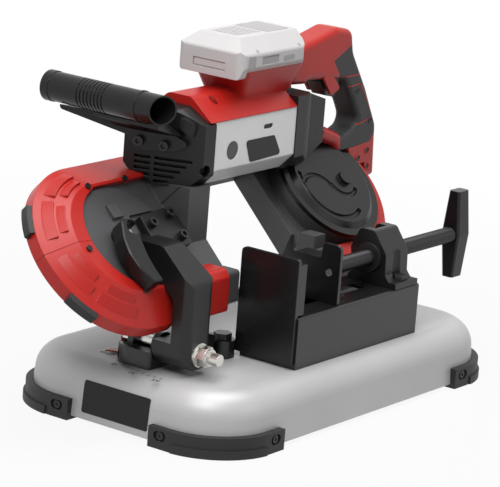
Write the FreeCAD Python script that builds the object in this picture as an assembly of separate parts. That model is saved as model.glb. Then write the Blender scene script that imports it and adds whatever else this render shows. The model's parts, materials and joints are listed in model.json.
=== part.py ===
import FreeCAD, Part
import math
import os

# A portable band saw bolted to a tilting, swivelling arm on a bench stand with a screw vise.
# Millimetres. X runs along the blade, Y away from the operator, Z up. Sizes are taken from under the base's
# middle, and main() shifts every part so that the origin is under the middle of the whole object.
# The two blade wheels lie in a plane that leans back from the cut, with axes x, v (up it) and w (out of it).

V = FreeCAD.Vector
X_AXIS = V(1, 0, 0)
Y_AXIS = V(0, 1, 0)
Z_AXIS = V(0, 0, 1)

# Base pan
BASE_LENGTH = 478.0
BASE_WIDTH = 277.0
BASE_CORNER = 67.0
BASE_TOP = 60.0
RIM_Z = 4.0
BASE_DRAFT = 5.0
BASE_ROUND = 27.0
PAN_WALL = 2.5

# Corner feet
FOOT_PROUD = 6.0
FOOT_BEAD = 1.5
FOOT_TOP = 21.0
FOOT_REACH = 88.0
FOOT_LIP = 12.0
FOOT_FIT = 0.3
FOOT_SCREW_INSET = 14.0
FOOT_SCREW_Z = 13.0
FOOT_SCREW_HEAD = 4.0
FOOT_SCREW_SHANK = 2.0

# Vise
BED_TOP = 113.0
BED_LEFT = -93.8
BED_RIGHT = 118.0
BED_FRONT = -110.0
BED_BACK = -42.0
BED_WALL = 4.0
BED_SLOT = 16.0
JAW_PLATE = 4.0
FIXED_JAW_BACK = -38.0
FIXED_JAW_TOP = 172.0
JAW_FLANGE = 14.0
MOVING_JAW_X = -25.6
MOVING_JAW_FRONT = -107.0
MOVING_JAW_TOP = 174.0
JAW_CUTOUT_Z = 158.0
JAW_BLADE_GAP = 4.0
SCREW_Y = -75.0
SCREW_Z = 141.0
SCREW_RADIUS = 8.5
SCREW_LENGTH = 266.0
BRACKET_X = 74.0
BRACKET_LENGTH = 40.0
BRACKET_BACK = -50.0
NUT_RADIUS = 12.0
HANDLE_BAR = 94.0
VISE_BOLT = 4.0

# Turntable and tilt pivot
SWIVEL_X = -111.0
SWIVEL_Y = -32.0
SWIVEL_BOLT = 5.0
TABLE_TOP = 78.0
TABLE_WALL = 4.0
TABLE_FRONT = -18.0
PIVOT_X = -186.0
PIVOT_Z = 82.0
PIVOT_RADIUS = 6.0
EAR_RADIUS = 13.0
EAR = 7.0
EAR_SPACE = 22.0
ARM_FRONT = -60.0
ARM_NECK_BACK = -40.0
ARM_HALF = 20.0
ARM_ROUND = 9.0
LEVER_X = -140.0
LEVER_Z = 74.0

# Blade, wheels and the leaning wheel plane
LEAN = 45.0
PLANE_Y = -26.0
PLANE_Z = 122.0
BLADE_WIDTH = 13.0
BLADE_THICK = 0.65
BLADE_Y = -32.0
TOOTH_PITCH = 5.0
TOOTH_HEIGHT = 1.6
IDLER_X = -222.0
WHEEL_SPAN = 330.0
TYRE_RADIUS = 75.9
TYRE_THICK = 2.5
WHEEL_WIDTH = 14.0
WHEEL_MID = -4.0
WHEEL_HOLES = 6
GUIDE_LEFT = -122.0
GUIDE_RIGHT = 42.0
GUIDE_LENGTH = 18.0
ROLLER_RADIUS = 6.5

# Frame, guards and gears
THROAT_LEFT = -100.0
THROAT_RIGHT = 27.5
THROAT_TOP = 122.0
FRAME_TOP = 169.0
FRAME_FACE = 12.0
FRAME_PLATE = 7.0
FRAME_BACK = -14.0
FRAME_WALL = 4.0
GUARD_RADIUS = 92.0
GUARD_WALL = 3.0
GUARD_RUN = 103.0
GUARD_EYE = 58.0
GUARD_LAND = 19.0
EYE_SHIFT = 15.0
SEAM_ANGLE = 175.0
BUMPER = 5.0
BUMPER_ANGLES = (139, 203)
BUMPER_SPAN = 20.0
FACET_SPAN = 32.0
FACET_GAP = 6.0
FACET_RISE = 1.6
DRIVE_GUARD_FACE = 22.0
GEAR_MODULE = 2.0
DRIVE_TEETH = 58
PINION_TEETH = 16
BEVEL_TEETH = 16
BEVEL_RADIUS = 17.0
BEVEL_LENGTH = 7.0
GEAR_W = 14.0
GEAR_WIDTH = 10.0
CASE_FACE = 27.0
COVER_THICK = 5.0
SHAFT_RADIUS = 8.0

# Motor body, handles and battery
MOTOR_W = 51.5
MOTOR_RISE = 69.0
MOTOR_HALF = 41.0
MOTOR_LEFT = -105.0
MOTOR_RIGHT = 30.0
NOSE_LEFT = -138.0
NOSE_TURN = 21.5
SHELL_LAP = 8.0
SPLIT_Z = 290.0
CAP_RISE = 10.0
ROTOR_BORE = 30.0
BRACKET_PLATE = 8.0
TUBE_X = -176.0
TUBE_Z = 308.0
TUBE_RADIUS = 15.0
TUBE_WALL = 1.8
TUBE_NEAR = 12.0
TUBE_LENGTH = 143.0
BATTERY_X = -70.0
BATTERY_Z = 333.0
BATTERY_LENGTH = 110.0
BATTERY_WIDTH = 82.0
BATTERY_HEIGHT = 34.0
BATTERY_LIP = 6.0
LATCH_TRAVEL = 3.0
RAIL_WIDTH = 50.0
RAIL_HEIGHT = 8.0
GRIP_WIDTH = 32.0
GRIP_SKIN = 3.0
GRIP_ROUND = 6.5
HANDLE_ROOT = 52.0
TRIGGER_WIDTH = 18.0
TRIGGER_TRAVEL = 6.0

# Fits
RUN = 0.05
CLEAR = 0.3

# Places that follow from the sizes above
COS = math.cos(math.radians(LEAN))
SIN = math.sin(math.radians(LEAN))
WHEEL_V = TYRE_RADIUS + CLEAR + BLADE_THICK / 2
DRIVE_X = IDLER_X + WHEEL_SPAN
BLADE_Z = BED_TOP + BLADE_WIDTH / 2
MOTOR_V = WHEEL_V + MOTOR_RISE
GEAR_CENTRES = GEAR_MODULE * (DRIVE_TEETH + PINION_TEETH) / 2
COUNTER_X = DRIVE_X - math.sqrt(GEAR_CENTRES ** 2 - MOTOR_RISE ** 2)
MOTOR_Y = PLANE_Y + COS * MOTOR_V - SIN * MOTOR_W
MOTOR_Z = PLANE_Z + SIN * MOTOR_V + COS * MOTOR_W
PLANE = FreeCAD.Placement(V(0, PLANE_Y, PLANE_Z), FreeCAD.Rotation(X_AXIS, LEAN))
WHEEL_RIM = TYRE_RADIUS - TYRE_THICK
WHEEL_LOW = WHEEL_MID - WHEEL_WIDTH / 2
LEFT_GUIDE = (GUIDE_LEFT, GUIDE_LEFT + GUIDE_LENGTH)
RIGHT_GUIDE = (GUIDE_RIGHT - GUIDE_LENGTH, GUIDE_RIGHT)


def box(x0, x1, y0, y1, z0, z1):
    return Part.makeBox(x1 - x0, y1 - y0, z1 - z0, V(x0, y0, z0))


def rod(radius, start, direction, length):
    return Part.makeCylinder(radius, length, start, direction)


def ring(outer, inner, start, direction, length):
    return rod(outer, start, direction, length).cut(rod(inner, start, direction, length))


def join(first, *others):
    return first.multiFuse(list(others)).removeSplitter()


def largest(shape):
    """The main piece left by a cut."""
    return max(shape.Solids, key=lambda solid: solid.Volume)


def leaned(shape):
    """A shape drawn in the wheel plane's x, v, w, set in its leaning place."""
    moved = shape.copy()
    moved.Placement = PLANE.multiply(moved.Placement)
    return moved


def level(z):
    return lambda p: V(p.x, p.y, z)


def facing_y(y):
    return lambda p: V(p.x, y, p.y)


def facing_x(x):
    return lambda p: V(x, p.x, p.y)


def outline(corners, at):
    """A closed wire through corners (a, b, radius), set in space by at."""
    count = len(corners)
    bends = []
    for i in range(count):
        a, b, radius = corners[i]
        corner = V(a, b, 0)
        back = V(*corners[i - 1][:2], 0) - corner
        ahead = V(*corners[(i + 1) % count][:2], 0) - corner
        back.normalize()
        ahead.normalize()
        half = back.getAngle(ahead) / 2
        middle = (back + ahead).normalize() if radius > 0 else corner
        reach = radius / math.tan(half) if radius > 0 else 0
        bulge = radius / math.sin(half) - radius if radius > 0 else 0
        bends.append((corner + back * reach, corner + middle * bulge, corner + ahead * reach, radius))
    edges = []
    for i in range(count):
        start, tip, end, radius = bends[i]
        following = bends[(i + 1) % count][0]
        if radius > 0:
            edges.append(Part.Arc(at(start), at(tip), at(end)).toShape())
        if (following - end).Length > 1e-6:
            edges.append(Part.makeLine(at(end), at(following)))
    return Part.Wire(edges)


def plate(corners, at, thickness):
    """An outline given thickness as a vector."""
    return Part.Face(outline(corners, at)).extrude(thickness)


def rectangle(length, width, corner):
    a = length / 2
    b = width / 2
    return [(a, -b, corner), (a, b, corner), (-a, b, corner), (-a, -b, corner)]


def turned(profile, centre_x, start, sweep):
    """A profile of (radius, w) points turned about a wheel axis, angles from +x towards +v."""
    points = [V(centre_x + r, WHEEL_V, w) for r, w in profile]
    face = Part.Face(Part.makePolygon(points + points[:1]))
    face.rotate(V(centre_x, WHEEL_V, 0), Z_AXIS, start)
    return face.revolve(V(centre_x, WHEEL_V, 0), Z_AXIS, sweep)


def pan_block(grow, low):
    """The pan's drafted block with its rounded top edge, grown outwards by grow."""
    inset = (BASE_TOP - RIM_Z) * math.tan(math.radians(BASE_DRAFT)) - grow
    high = BASE_TOP + grow
    foot = rectangle(BASE_LENGTH + 2 * grow, BASE_WIDTH + 2 * grow, BASE_CORNER + grow)
    head = rectangle(BASE_LENGTH - 2 * inset, BASE_WIDTH - 2 * inset, BASE_CORNER - inset)
    block = Part.makeLoft([outline(foot, level(low)), outline(head, level(high))], True, True)
    rim = [e for e in block.Edges if all(abs(p.Z - high) < 1e-6 for p in e.Vertexes)]
    return block.makeFillet(BASE_ROUND + grow, rim)


def foot_screw_places():
    """Start point and inward direction of each foot screw."""
    places = []
    for sx in (-1, 1):
        for sy in (-1, 1):
            side_x = sx * (BASE_LENGTH / 2 - FOOT_REACH + FOOT_SCREW_INSET)
            side_y = sy * (BASE_WIDTH / 2 - FOOT_REACH + FOOT_SCREW_INSET)
            places.append((V(side_x, sy * (BASE_WIDTH / 2 + FOOT_PROUD), FOOT_SCREW_Z), V(0, -sy, 0)))
            places.append((V(sx * (BASE_LENGTH / 2 + FOOT_PROUD), side_y, FOOT_SCREW_Z), V(-sx, 0, 0)))
    return places


def vise_bolt_places():
    """Places of the bolts that hold the bed to the pan."""
    middle = (BED_FRONT + BED_BACK) / 2
    inset = 3 * VISE_BOLT + BED_WALL
    return [V(x, middle, BASE_TOP) for x in (BED_LEFT + inset, BED_RIGHT - inset)]


def base_pan():
    pan = pan_block(0, RIM_Z).cut(pan_block(-PAN_WALL, RIM_Z - 1))
    for start, inward in foot_screw_places():
        pan = pan.cut(rod(FOOT_SCREW_SHANK + RUN, start, inward, FOOT_PROUD + 4 * PAN_WALL))
    for place in vise_bolt_places():
        pan = pan.cut(rod(VISE_BOLT + RUN, place - Z_AXIS * 2 * PAN_WALL, Z_AXIS, 4 * PAN_WALL))
    swivel = V(SWIVEL_X, SWIVEL_Y, BASE_TOP - 2 * PAN_WALL)
    return pan.cut(rod(SWIVEL_BOLT + RUN, swivel, Z_AXIS, 4 * PAN_WALL))


def corner_foot(sx, sy):
    """A rubber foot wrapped round one corner, with a lip under the rim and a bead round its lower half."""
    grown = rectangle(BASE_LENGTH + 2 * FOOT_PROUD, BASE_WIDTH + 2 * FOOT_PROUD, BASE_CORNER + FOOT_PROUD)
    reach = 2 * (FOOT_PROUD + FOOT_BEAD)
    bead = rectangle(BASE_LENGTH + reach, BASE_WIDTH + reach, BASE_CORNER + FOOT_PROUD)
    band = plate(grown, level(0), V(0, 0, FOOT_TOP))
    lower = plate(bead, level(0), V(0, 0, FOOT_TOP * 0.4))
    x_in = BASE_LENGTH / 2 - FOOT_REACH
    y_in = BASE_WIDTH / 2 - FOOT_REACH
    corner = box(x_in, BASE_LENGTH, y_in, BASE_WIDTH, -1, FOOT_TOP + 1)
    inner_corner = box(x_in + 28, BASE_LENGTH, y_in + 28, BASE_WIDTH, -1, FOOT_TOP + 1)
    foot = join(band.common(corner), lower.common(inner_corner))
    opening = rectangle(BASE_LENGTH - 2 * FOOT_LIP, BASE_WIDTH - 2 * FOOT_LIP, BASE_CORNER - FOOT_LIP)
    foot = foot.cut(plate(opening, level(-1), V(0, 0, RIM_Z + 2)))
    foot = foot.cut(pan_block(FOOT_FIT, RIM_Z))
    foot = foot.mirror(V(0, 0, 0), X_AXIS) if sx < 0 else foot
    foot = foot.mirror(V(0, 0, 0), Y_AXIS) if sy < 0 else foot
    for start, inward in foot_screw_places():
        across = Z_AXIS.cross(inward) * (FOOT_SCREW_HEAD * 0.6)
        depth = FOOT_PROUD * 0.45
        for shift in (-1, 1):
            recess = rod(FOOT_SCREW_HEAD + 1, start + across * shift - inward, inward, depth + 1)
            foot = foot.cut(recess)
        foot = foot.cut(rod(FOOT_SCREW_SHANK + RUN, start, inward, 4 * FOOT_PROUD))
    return foot


def corner_feet():
    return Part.makeCompound([corner_foot(sx, sy) for sx in (-1, 1) for sy in (-1, 1)])


def foot_screws():
    screws = []
    for start, inward in foot_screw_places():
        seat = start + inward * (FOOT_PROUD * 0.45)
        head = rod(FOOT_SCREW_HEAD, seat - inward * 2, inward, 2)
        socket = rod(FOOT_SCREW_SHANK * 0.8, seat - inward * 2, inward, 1)
        shank = rod(FOOT_SCREW_SHANK, seat, inward, 14)
        screws.append(join(head, shank).cut(socket))
    return Part.makeCompound(screws)


def vise_bed():
    """A folded channel, open below and at the ends, with the jaw's slot along its top."""
    bed = box(BED_LEFT, BED_RIGHT, BED_FRONT, BED_BACK, BASE_TOP, BED_TOP)
    hollow = box(BED_LEFT - 1, BED_RIGHT + 1, BED_FRONT + BED_WALL, BED_BACK - BED_WALL,
                 BASE_TOP + BED_WALL, BED_TOP - BED_WALL)
    floor_gap = box(BED_LEFT + 40, BED_RIGHT - 40, BED_FRONT + BED_WALL, BED_BACK - BED_WALL,
                    BASE_TOP - 1, BASE_TOP + BED_WALL + 1)
    upright = [e for e in bed.Edges if abs(e.Vertexes[0].Z - BED_TOP) < 1e-6
               and abs(e.Vertexes[1].Z - BED_TOP) < 1e-6
               and abs(e.Vertexes[0].Y - e.Vertexes[1].Y) < 1e-6]
    bed = bed.makeFillet(3, upright).cut(hollow).cut(floor_gap)
    slot = box(BED_LEFT + 10, BRACKET_X - 14, SCREW_Y - BED_SLOT / 2, SCREW_Y + BED_SLOT / 2,
               BED_TOP - 2 * BED_WALL, BED_TOP + 1)
    bed = bed.cut(slot)
    for place in vise_bolt_places():
        bed = bed.cut(rod(VISE_BOLT + RUN, place - Z_AXIS, Z_AXIS, 2 * BED_WALL))
    for place in bracket_bolt_places():
        bed = bed.cut(rod(VISE_BOLT + RUN, place - Z_AXIS * 3 * BED_WALL, Z_AXIS, 6 * BED_WALL))
    return bed


def fixed_jaw():
    """A plate standing against the bed's left end, its front edge folded over the bed."""
    x0 = BED_LEFT - JAW_PLATE
    low = BASE_TOP + 5
    front = BED_FRONT + 2
    corners = [(front, low, 0), (FIXED_JAW_BACK, low, 0), (FIXED_JAW_BACK, FIXED_JAW_TOP, 5),
               (front, FIXED_JAW_TOP, 3)]
    jaw = plate(corners, facing_x(x0), V(JAW_PLATE, 0, 0))
    flange = box(x0, x0 + JAW_FLANGE, front, front + JAW_PLATE, BED_TOP + 2, FIXED_JAW_TOP - 6)
    foot = box(x0, x0 + JAW_PLATE, front, BED_BACK, low, BED_TOP)
    return join(jaw, flange, foot)


def bracket_bolt_places():
    return [V(BRACKET_X + BRACKET_LENGTH / 2, BED_FRONT + 10, BED_TOP + 6)]


def screw_bracket():
    """A folded strip on the bed's right end: foot, slope and the block that holds the nut."""
    form = [(BED_FRONT, BED_TOP, 0), (BRACKET_BACK, BED_TOP, 0), (BRACKET_BACK, BED_TOP + 6, 2),
            (SCREW_Y + 20, BED_TOP + 9, 4), (SCREW_Y + 24, SCREW_Z + 6, 4), (SCREW_Y + 14, SCREW_Z + 28, 6),
            (SCREW_Y - 4, SCREW_Z + 28, 5), (SCREW_Y - 20, SCREW_Z + 6, 4), (BED_FRONT + 14, BED_TOP + 12, 3),
            (BED_FRONT + 9, BED_TOP + 6, 2), (BED_FRONT, BED_TOP + 6, 1)]
    body = plate(form, facing_x(BRACKET_X), V(BRACKET_LENGTH, 0, 0))
    notch = box(BRACKET_X + 10, BRACKET_X + BRACKET_LENGTH - 10, SCREW_Y + 2, SCREW_Y + 30, SCREW_Z + 20,
                SCREW_Z + 40)
    body = body.cut(notch)
    body = body.cut(rod(NUT_RADIUS + RUN, V(BRACKET_X - 1, SCREW_Y, SCREW_Z), X_AXIS, BRACKET_LENGTH + 2))
    for place in bracket_bolt_places():
        body = body.cut(rod(VISE_BOLT + RUN, place - Z_AXIS * 8, Z_AXIS, 20))
        body = body.cut(rod(VISE_BOLT * 2, place, Z_AXIS, 30))
    return body


def vise_nut():
    """A flanged bush in the bracket, bored for the screw."""
    start = V(BRACKET_X - 4, SCREW_Y, SCREW_Z)
    bush = rod(NUT_RADIUS, start, X_AXIS, BRACKET_LENGTH + 4)
    collar = rod(NUT_RADIUS + 3, start, X_AXIS, 4)
    return join(bush, collar).cut(rod(SCREW_RADIUS + RUN, start - X_AXIS, X_AXIS, BRACKET_LENGTH + 8))


def hexagon(radius, start, direction, length):
    """A hexagonal prism, its corners at radius."""
    side = X_AXIS if abs(direction.x) < 0.5 else Y_AXIS
    other = direction.cross(side)
    points = []
    for k in range(7):
        angle = math.radians(60 * k)
        points.append(start + side * (radius * math.cos(angle)) + other * (radius * math.sin(angle)))
    return Part.Face(Part.makePolygon(points)).extrude(direction * length)


def hex_bolt(radius, seat, direction, length):
    """A bolt whose head stands on seat and whose shank runs along direction."""
    head = hexagon(radius * 1.85, seat - direction * (radius * 1.3), direction, radius * 1.3)
    return join(head, rod(radius, seat, direction, length))


def vise_bolts():
    bolts = []
    for place in vise_bolt_places():
        bolts.append(hex_bolt(VISE_BOLT, place + Z_AXIS * BED_WALL, -Z_AXIS, BED_WALL + PAN_WALL + 8))
    for place in bracket_bolt_places():
        bolts.append(hex_bolt(VISE_BOLT, place, -Z_AXIS, 6 + BED_WALL + 6))
    return Part.makeCompound(bolts)


def moving_jaw():
    """A folded plate across the bed, horned at both ends, that stops just short of the blade."""
    end = BLADE_Y - JAW_BLADE_GAP
    horn = end - 13
    low = BED_TOP + CLEAR
    corners = [(MOVING_JAW_FRONT, low, 2), (end, low, 2), (end, JAW_CUTOUT_Z - 6, 4),
               (horn + 4, MOVING_JAW_TOP, 2), (horn, MOVING_JAW_TOP, 1), (horn, JAW_CUTOUT_Z, 3),
               (MOVING_JAW_FRONT + 24, JAW_CUTOUT_Z, 3), (MOVING_JAW_FRONT + 22, MOVING_JAW_TOP, 4),
               (MOVING_JAW_FRONT, MOVING_JAW_TOP, 6)]
    jaw = plate(corners, facing_x(MOVING_JAW_X), V(JAW_PLATE, 0, 0))
    back = MOVING_JAW_X + JAW_PLATE
    ledge = box(MOVING_JAW_X, back + 18, MOVING_JAW_FRONT + 28, horn - 2, JAW_CUTOUT_Z - 4, JAW_CUTOUT_Z)
    foot = box(MOVING_JAW_X, back + 26, SCREW_Y - 20, SCREW_Y + 20, low, low + JAW_PLATE)
    socket = rod(SCREW_RADIUS + 5, V(MOVING_JAW_X, SCREW_Y, SCREW_Z), X_AXIS, JAW_PLATE + 10)
    jaw = join(jaw, ledge, foot, socket)
    seat = rod(SCREW_RADIUS + RUN, V(back, SCREW_Y, SCREW_Z), X_AXIS, 20)
    jaw = jaw.cut(seat)
    hole = rod(4, V(MOVING_JAW_X - 1, MOVING_JAW_FRONT + 13, SCREW_Z + 4), X_AXIS, JAW_PLATE + 2)
    bolt = rod(VISE_BOLT + RUN, V(back + 16, SCREW_Y, low - 1), Z_AXIS, JAW_PLATE + 2)
    return jaw.cut(hole).cut(bolt)


def jaw_slide_block():
    """A key that rides in the bed's slot under the moving jaw, with its bolt."""
    x = MOVING_JAW_X + JAW_PLATE + 16
    half = BED_SLOT / 2 - CLEAR
    top = BED_TOP + CLEAR
    key = box(x - 12, x + 12, SCREW_Y - half, SCREW_Y + half, BED_TOP - BED_WALL - CLEAR, top)
    shoe = box(x - 14, x + 14, SCREW_Y - 16, SCREW_Y + 16, BED_TOP - BED_WALL - CLEAR - 5,
               BED_TOP - BED_WALL - CLEAR)
    bolt = hex_bolt(VISE_BOLT, V(x, SCREW_Y, top + JAW_PLATE), -Z_AXIS, JAW_PLATE + 4)
    return join(key, shoe, bolt)


def vise_screw():
    start = V(MOVING_JAW_X + JAW_PLATE, SCREW_Y, SCREW_Z)
    screw = rod(SCREW_RADIUS, start, X_AXIS, SCREW_LENGTH)
    ends = [e for e in screw.Edges if isinstance(e.Curve, Part.Circle)]
    screw = screw.makeChamfer(1, ends)
    return screw.cut(handle_pin(RUN))


def handle_middle():
    return V(MOVING_JAW_X + JAW_PLATE + SCREW_LENGTH - 9, SCREW_Y, SCREW_Z)


def handle_pin(grow=0.0):
    """The cross pin that holds the bar to the screw."""
    middle = handle_middle()
    return rod(2.5 + grow, middle - Y_AXIS * 11, Y_AXIS, 22)


def t_handle():
    """A cast bar, broad at its middle, bored for the screw's end."""
    middle = handle_middle()
    halves = []
    for side in (-1, 1):
        inner = rectangle(23, 22, 3)
        outer = rectangle(20, 13, 3)
        low = outline(inner, level(0))
        high = outline(outer, level(side * HANDLE_BAR / 2))
        half = Part.makeLoft([low, high], True, True)
        half.translate(middle)
        halves.append(half)
    bar = join(*halves)
    bar = bar.cut(rod(SCREW_RADIUS + RUN, middle - X_AXIS * 15, X_AXIS, 15 + 9))
    return bar.cut(handle_pin(RUN))


def turntable_corners():
    hub = 12.0
    return [(PIVOT_X - 22, TABLE_FRONT, 4), (PIVOT_X - 22, 34, 24), (PIVOT_X + 36, 34, 14),
            (SWIVEL_X + hub, SWIVEL_Y + 16, 8), (SWIVEL_X + hub, SWIVEL_Y - hub, 10),
            (SWIVEL_X - hub, SWIVEL_Y - hub, 10), (SWIVEL_X - hub, TABLE_FRONT, 4)]


def turntable():
    """A cast swivel tray with two ears for the pivot bolt and a boss over the swivel bolt."""
    base = BASE_TOP + CLEAR
    body = plate(turntable_corners(), level(base), V(0, 0, TABLE_TOP - base))
    hollow_left = box(PIVOT_X - 22 + TABLE_WALL, PIVOT_X + 30, TABLE_FRONT + EAR + EAR_SPACE + EAR,
                      34 - TABLE_WALL, base - 1, TABLE_TOP - TABLE_WALL)
    middle = box(PIVOT_X - 14, PIVOT_X + 30, TABLE_FRONT + EAR, TABLE_FRONT + EAR + EAR_SPACE,
                 base - 1, TABLE_TOP - TABLE_WALL)
    body = body.cut(hollow_left).cut(middle)
    for y in (TABLE_FRONT, TABLE_FRONT + EAR + EAR_SPACE):
        ear = rod(EAR_RADIUS, V(PIVOT_X, y, PIVOT_Z), Y_AXIS, EAR)
        root = box(PIVOT_X - EAR_RADIUS, PIVOT_X + EAR_RADIUS, y, y + EAR, TABLE_TOP - 6, PIVOT_Z)
        body = join(body, ear, root)
    body = body.cut(rod(PIVOT_RADIUS + RUN, V(PIVOT_X, TABLE_FRONT - 1, PIVOT_Z), Y_AXIS,
                        EAR * 2 + EAR_SPACE + 2))
    trough = rod(PIVOT_RADIUS + 3, V(PIVOT_X, TABLE_FRONT + EAR, PIVOT_Z), Y_AXIS, EAR_SPACE)
    head_room = rod(PIVOT_RADIUS * 2.1, V(PIVOT_X, TABLE_FRONT + 2 * EAR + EAR_SPACE, PIVOT_Z), Y_AXIS, 40)
    stud = rod(4, V(LEVER_X, TABLE_FRONT, LEVER_Z - 6), -Y_AXIS, 16)
    body = join(body.cut(trough).cut(head_room), stud)
    return body.cut(rod(SWIVEL_BOLT + RUN, V(SWIVEL_X, SWIVEL_Y, base - 1), Z_AXIS, TABLE_TOP))


def swivel_bolt():
    """The vertical bolt that the turntable swings on, with its nut and washer under the pan."""
    seat = V(SWIVEL_X, SWIVEL_Y, TABLE_TOP)
    grip = TABLE_TOP - BASE_TOP + PAN_WALL
    bolt = hex_bolt(SWIVEL_BOLT, seat, -Z_AXIS, grip + 12)
    under = seat - Z_AXIS * (grip + CLEAR)
    washer = rod(SWIVEL_BOLT * 2, under - Z_AXIS * 2, Z_AXIS, 2)
    nut = hexagon(SWIVEL_BOLT * 1.85, under - Z_AXIS * 8, Z_AXIS, 6)
    return join(bolt, washer, nut)


def mitre_pointer():
    """A folded pointer screwed to the turntable's side, its tip just over the scale."""
    y0 = 34 + RUN
    start_x = PIVOT_X + 8
    thick = 1.5
    tab = box(start_x - 9, start_x + 11, y0, y0 + thick, BASE_TOP + 2, TABLE_TOP + 1)
    arm = [(start_x - 9, y0, 0), (start_x + 11, y0, 0), (start_x - 8, y0 + 14, 2),
           (start_x - 16, y0 + 15, 0.5)]
    tip = plate(arm, level(BASE_TOP + 1.5), V(0, 0, thick))
    screw = rod(3, V(start_x, y0 + thick, TABLE_TOP - 9), Y_AXIS, 2)
    return join(tab, tip, screw)


def pivot_bolt():
    back = TABLE_FRONT + 2 * EAR + EAR_SPACE
    length = back - ARM_FRONT + 26
    bolt = hex_bolt(PIVOT_RADIUS, V(PIVOT_X, back, PIVOT_Z), -Y_AXIS, length)
    return bolt


def pivot_nuts():
    """Washer and lock nut on the pivot bolt's front end."""
    seat = V(PIVOT_X, ARM_FRONT, PIVOT_Z)
    washer = rod(12, seat - Y_AXIS * 2.5, Y_AXIS, 2.5)
    nut = hexagon(PIVOT_RADIUS * 1.8, seat - Y_AXIS * 12.5, Y_AXIS, 10)
    collar = rod(PIVOT_RADIUS * 1.45, seat - Y_AXIS * 15, Y_AXIS, 3)
    nuts = join(washer, nut, collar)
    return nuts.cut(rod(PIVOT_RADIUS + RUN, seat - Y_AXIS * 30, Y_AXIS, 40))


def lock_lever():
    """A teardrop lever on the turntable's stud that clamps the swivel."""
    z = LEVER_Z - 6
    disc = [(LEVER_X - 8, z - 6, 7), (LEVER_X + 9, z - 5, 7), (LEVER_X + 15, z + 16, 3),
            (LEVER_X + 4, z + 20, 3), (LEVER_X - 8, z + 8, 7)]
    lever = plate(disc, facing_y(TABLE_FRONT - 16), V(0, 8, 0))
    return lever.cut(rod(4 + RUN, V(LEVER_X, TABLE_FRONT - 20, z), Y_AXIS, 20))


def on_plane(y, w):
    """Height of the wheel plane's level w at a given y."""
    return y + PLANE_Z - PLANE_Y + w / COS


def swing_arm():
    """A deep casting from the pivot up to a clamp pad on the saw's frame."""
    left = PIVOT_X - ARM_HALF
    right = PIVOT_X + ARM_HALF
    low = PIVOT_Z - 15
    back = TABLE_FRONT - CLEAR
    foot_top = PIVOT_Z + 10
    foot_form = [(left, low, 15), (right, low, 15), (right, foot_top, 0), (left, foot_top, 0)]
    foot = plate(foot_form, facing_y(ARM_FRONT), V(0, back - ARM_FRONT, 0))
    knee_z = PLANE_Z + 30
    head_z = knee_z + 33
    pad_low = clamp_corners()[0][1] - 4
    pad_high = clamp_corners()[-1][1]
    low_y = PLANE_Y + COS * (pad_low - FRAME_FACE)
    high_y = PLANE_Y + COS * (pad_high - FRAME_FACE)
    side = [(ARM_FRONT, low + 10, 0), (ARM_NECK_BACK, low + 10, 0), (ARM_NECK_BACK, knee_z - 16, 8),
            (low_y, on_plane(low_y, FRAME_FACE), 0), (high_y, on_plane(high_y, FRAME_FACE), 0),
            (ARM_FRONT + 36, head_z, 6), (ARM_FRONT, knee_z, 12)]
    front = [(left, low, 15), (right, low, 15), (right, knee_z, 20), (right - 11, head_z + 1, 0),
             (left, head_z + 1, 0)]
    flank = plate(side, facing_x(left - 10), V(80, 0, 0))
    neck = flank.common(plate(front, facing_y(ARM_FRONT - 1), V(0, 120, 0)))
    plan = [(left, ARM_FRONT, ARM_ROUND), (right, ARM_FRONT, ARM_ROUND), (right, 60, 0), (left, 60, 0)]
    rounded = plate(plan, level(low - 1), V(0, 0, head_z))
    pad_form = [(x, v, 3) for x, v in clamp_corners()]
    pad = plate(pad_form, level(FRAME_FACE), V(0, 0, 10))
    arm = join(join(foot, neck).common(rounded), leaned(pad))
    arm = arm.cut(rod(PIVOT_RADIUS + RUN, V(PIVOT_X, ARM_FRONT - 1, PIVOT_Z), Y_AXIS, back - ARM_FRONT + 2))
    for x, v in clamp_bolt_places():
        arm = arm.cut(leaned(rod(3 + RUN, V(x, v, FRAME_FACE - 1), Z_AXIS, 30)))
    return arm


def clamp_corners():
    return [(-188, 49), (-135, 52), (-135, 86), (-146, 95), (-185, 93)]


def clamp_bolt_places():
    return [(-146, 87), (-177, 81), (-146, 61)]


def at_nose(shape):
    """A shape drawn on an end square to X, turned with the nose's slanting end."""
    moved = shape.copy()
    moved.rotate(V(NOSE_LEFT, MOTOR_Y, 0), Z_AXIS, NOSE_TURN)
    return moved


def handle_bolt_places():
    return [V(NOSE_LEFT, MOTOR_Y + along, z) for along, z in ((20, 268), (-6, 266))]


def socket_screw(seat, direction, shank):
    """An M6 socket head screw standing on seat, its shank running along direction."""
    head = rod(5, seat - direction * 6, direction, 6)
    key = hexagon(2.9, seat - direction * 6, direction, 3)
    return join(head, rod(3, seat, direction, shank)).cut(key)


def socket_screws():
    screws = []
    for x, v in clamp_bolt_places():
        screws.append(leaned(socket_screw(V(x, v, FRAME_FACE + 10), -Z_AXIS, 10 + FRAME_PLATE - 1)))
    for place in handle_bolt_places():
        screws.append(at_nose(socket_screw(place - X_AXIS * BRACKET_PLATE, X_AXIS, 16)))
    return Part.makeCompound(screws)


def case_form(grow):
    """Gear case outline: a disc round the drive gear run up to the counter gear."""
    drive = rod(GEAR_MODULE * DRIVE_TEETH / 2 + 8 + grow, V(DRIVE_X, WHEEL_V, FRAME_FACE), Z_AXIS,
                CASE_FACE - FRAME_FACE)
    counter = rod(GEAR_MODULE * PINION_TEETH / 2 + 8 + grow, V(COUNTER_X, MOTOR_V, FRAME_FACE), Z_AXIS,
                  CASE_FACE - FRAME_FACE)
    return join(drive, counter)


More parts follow.
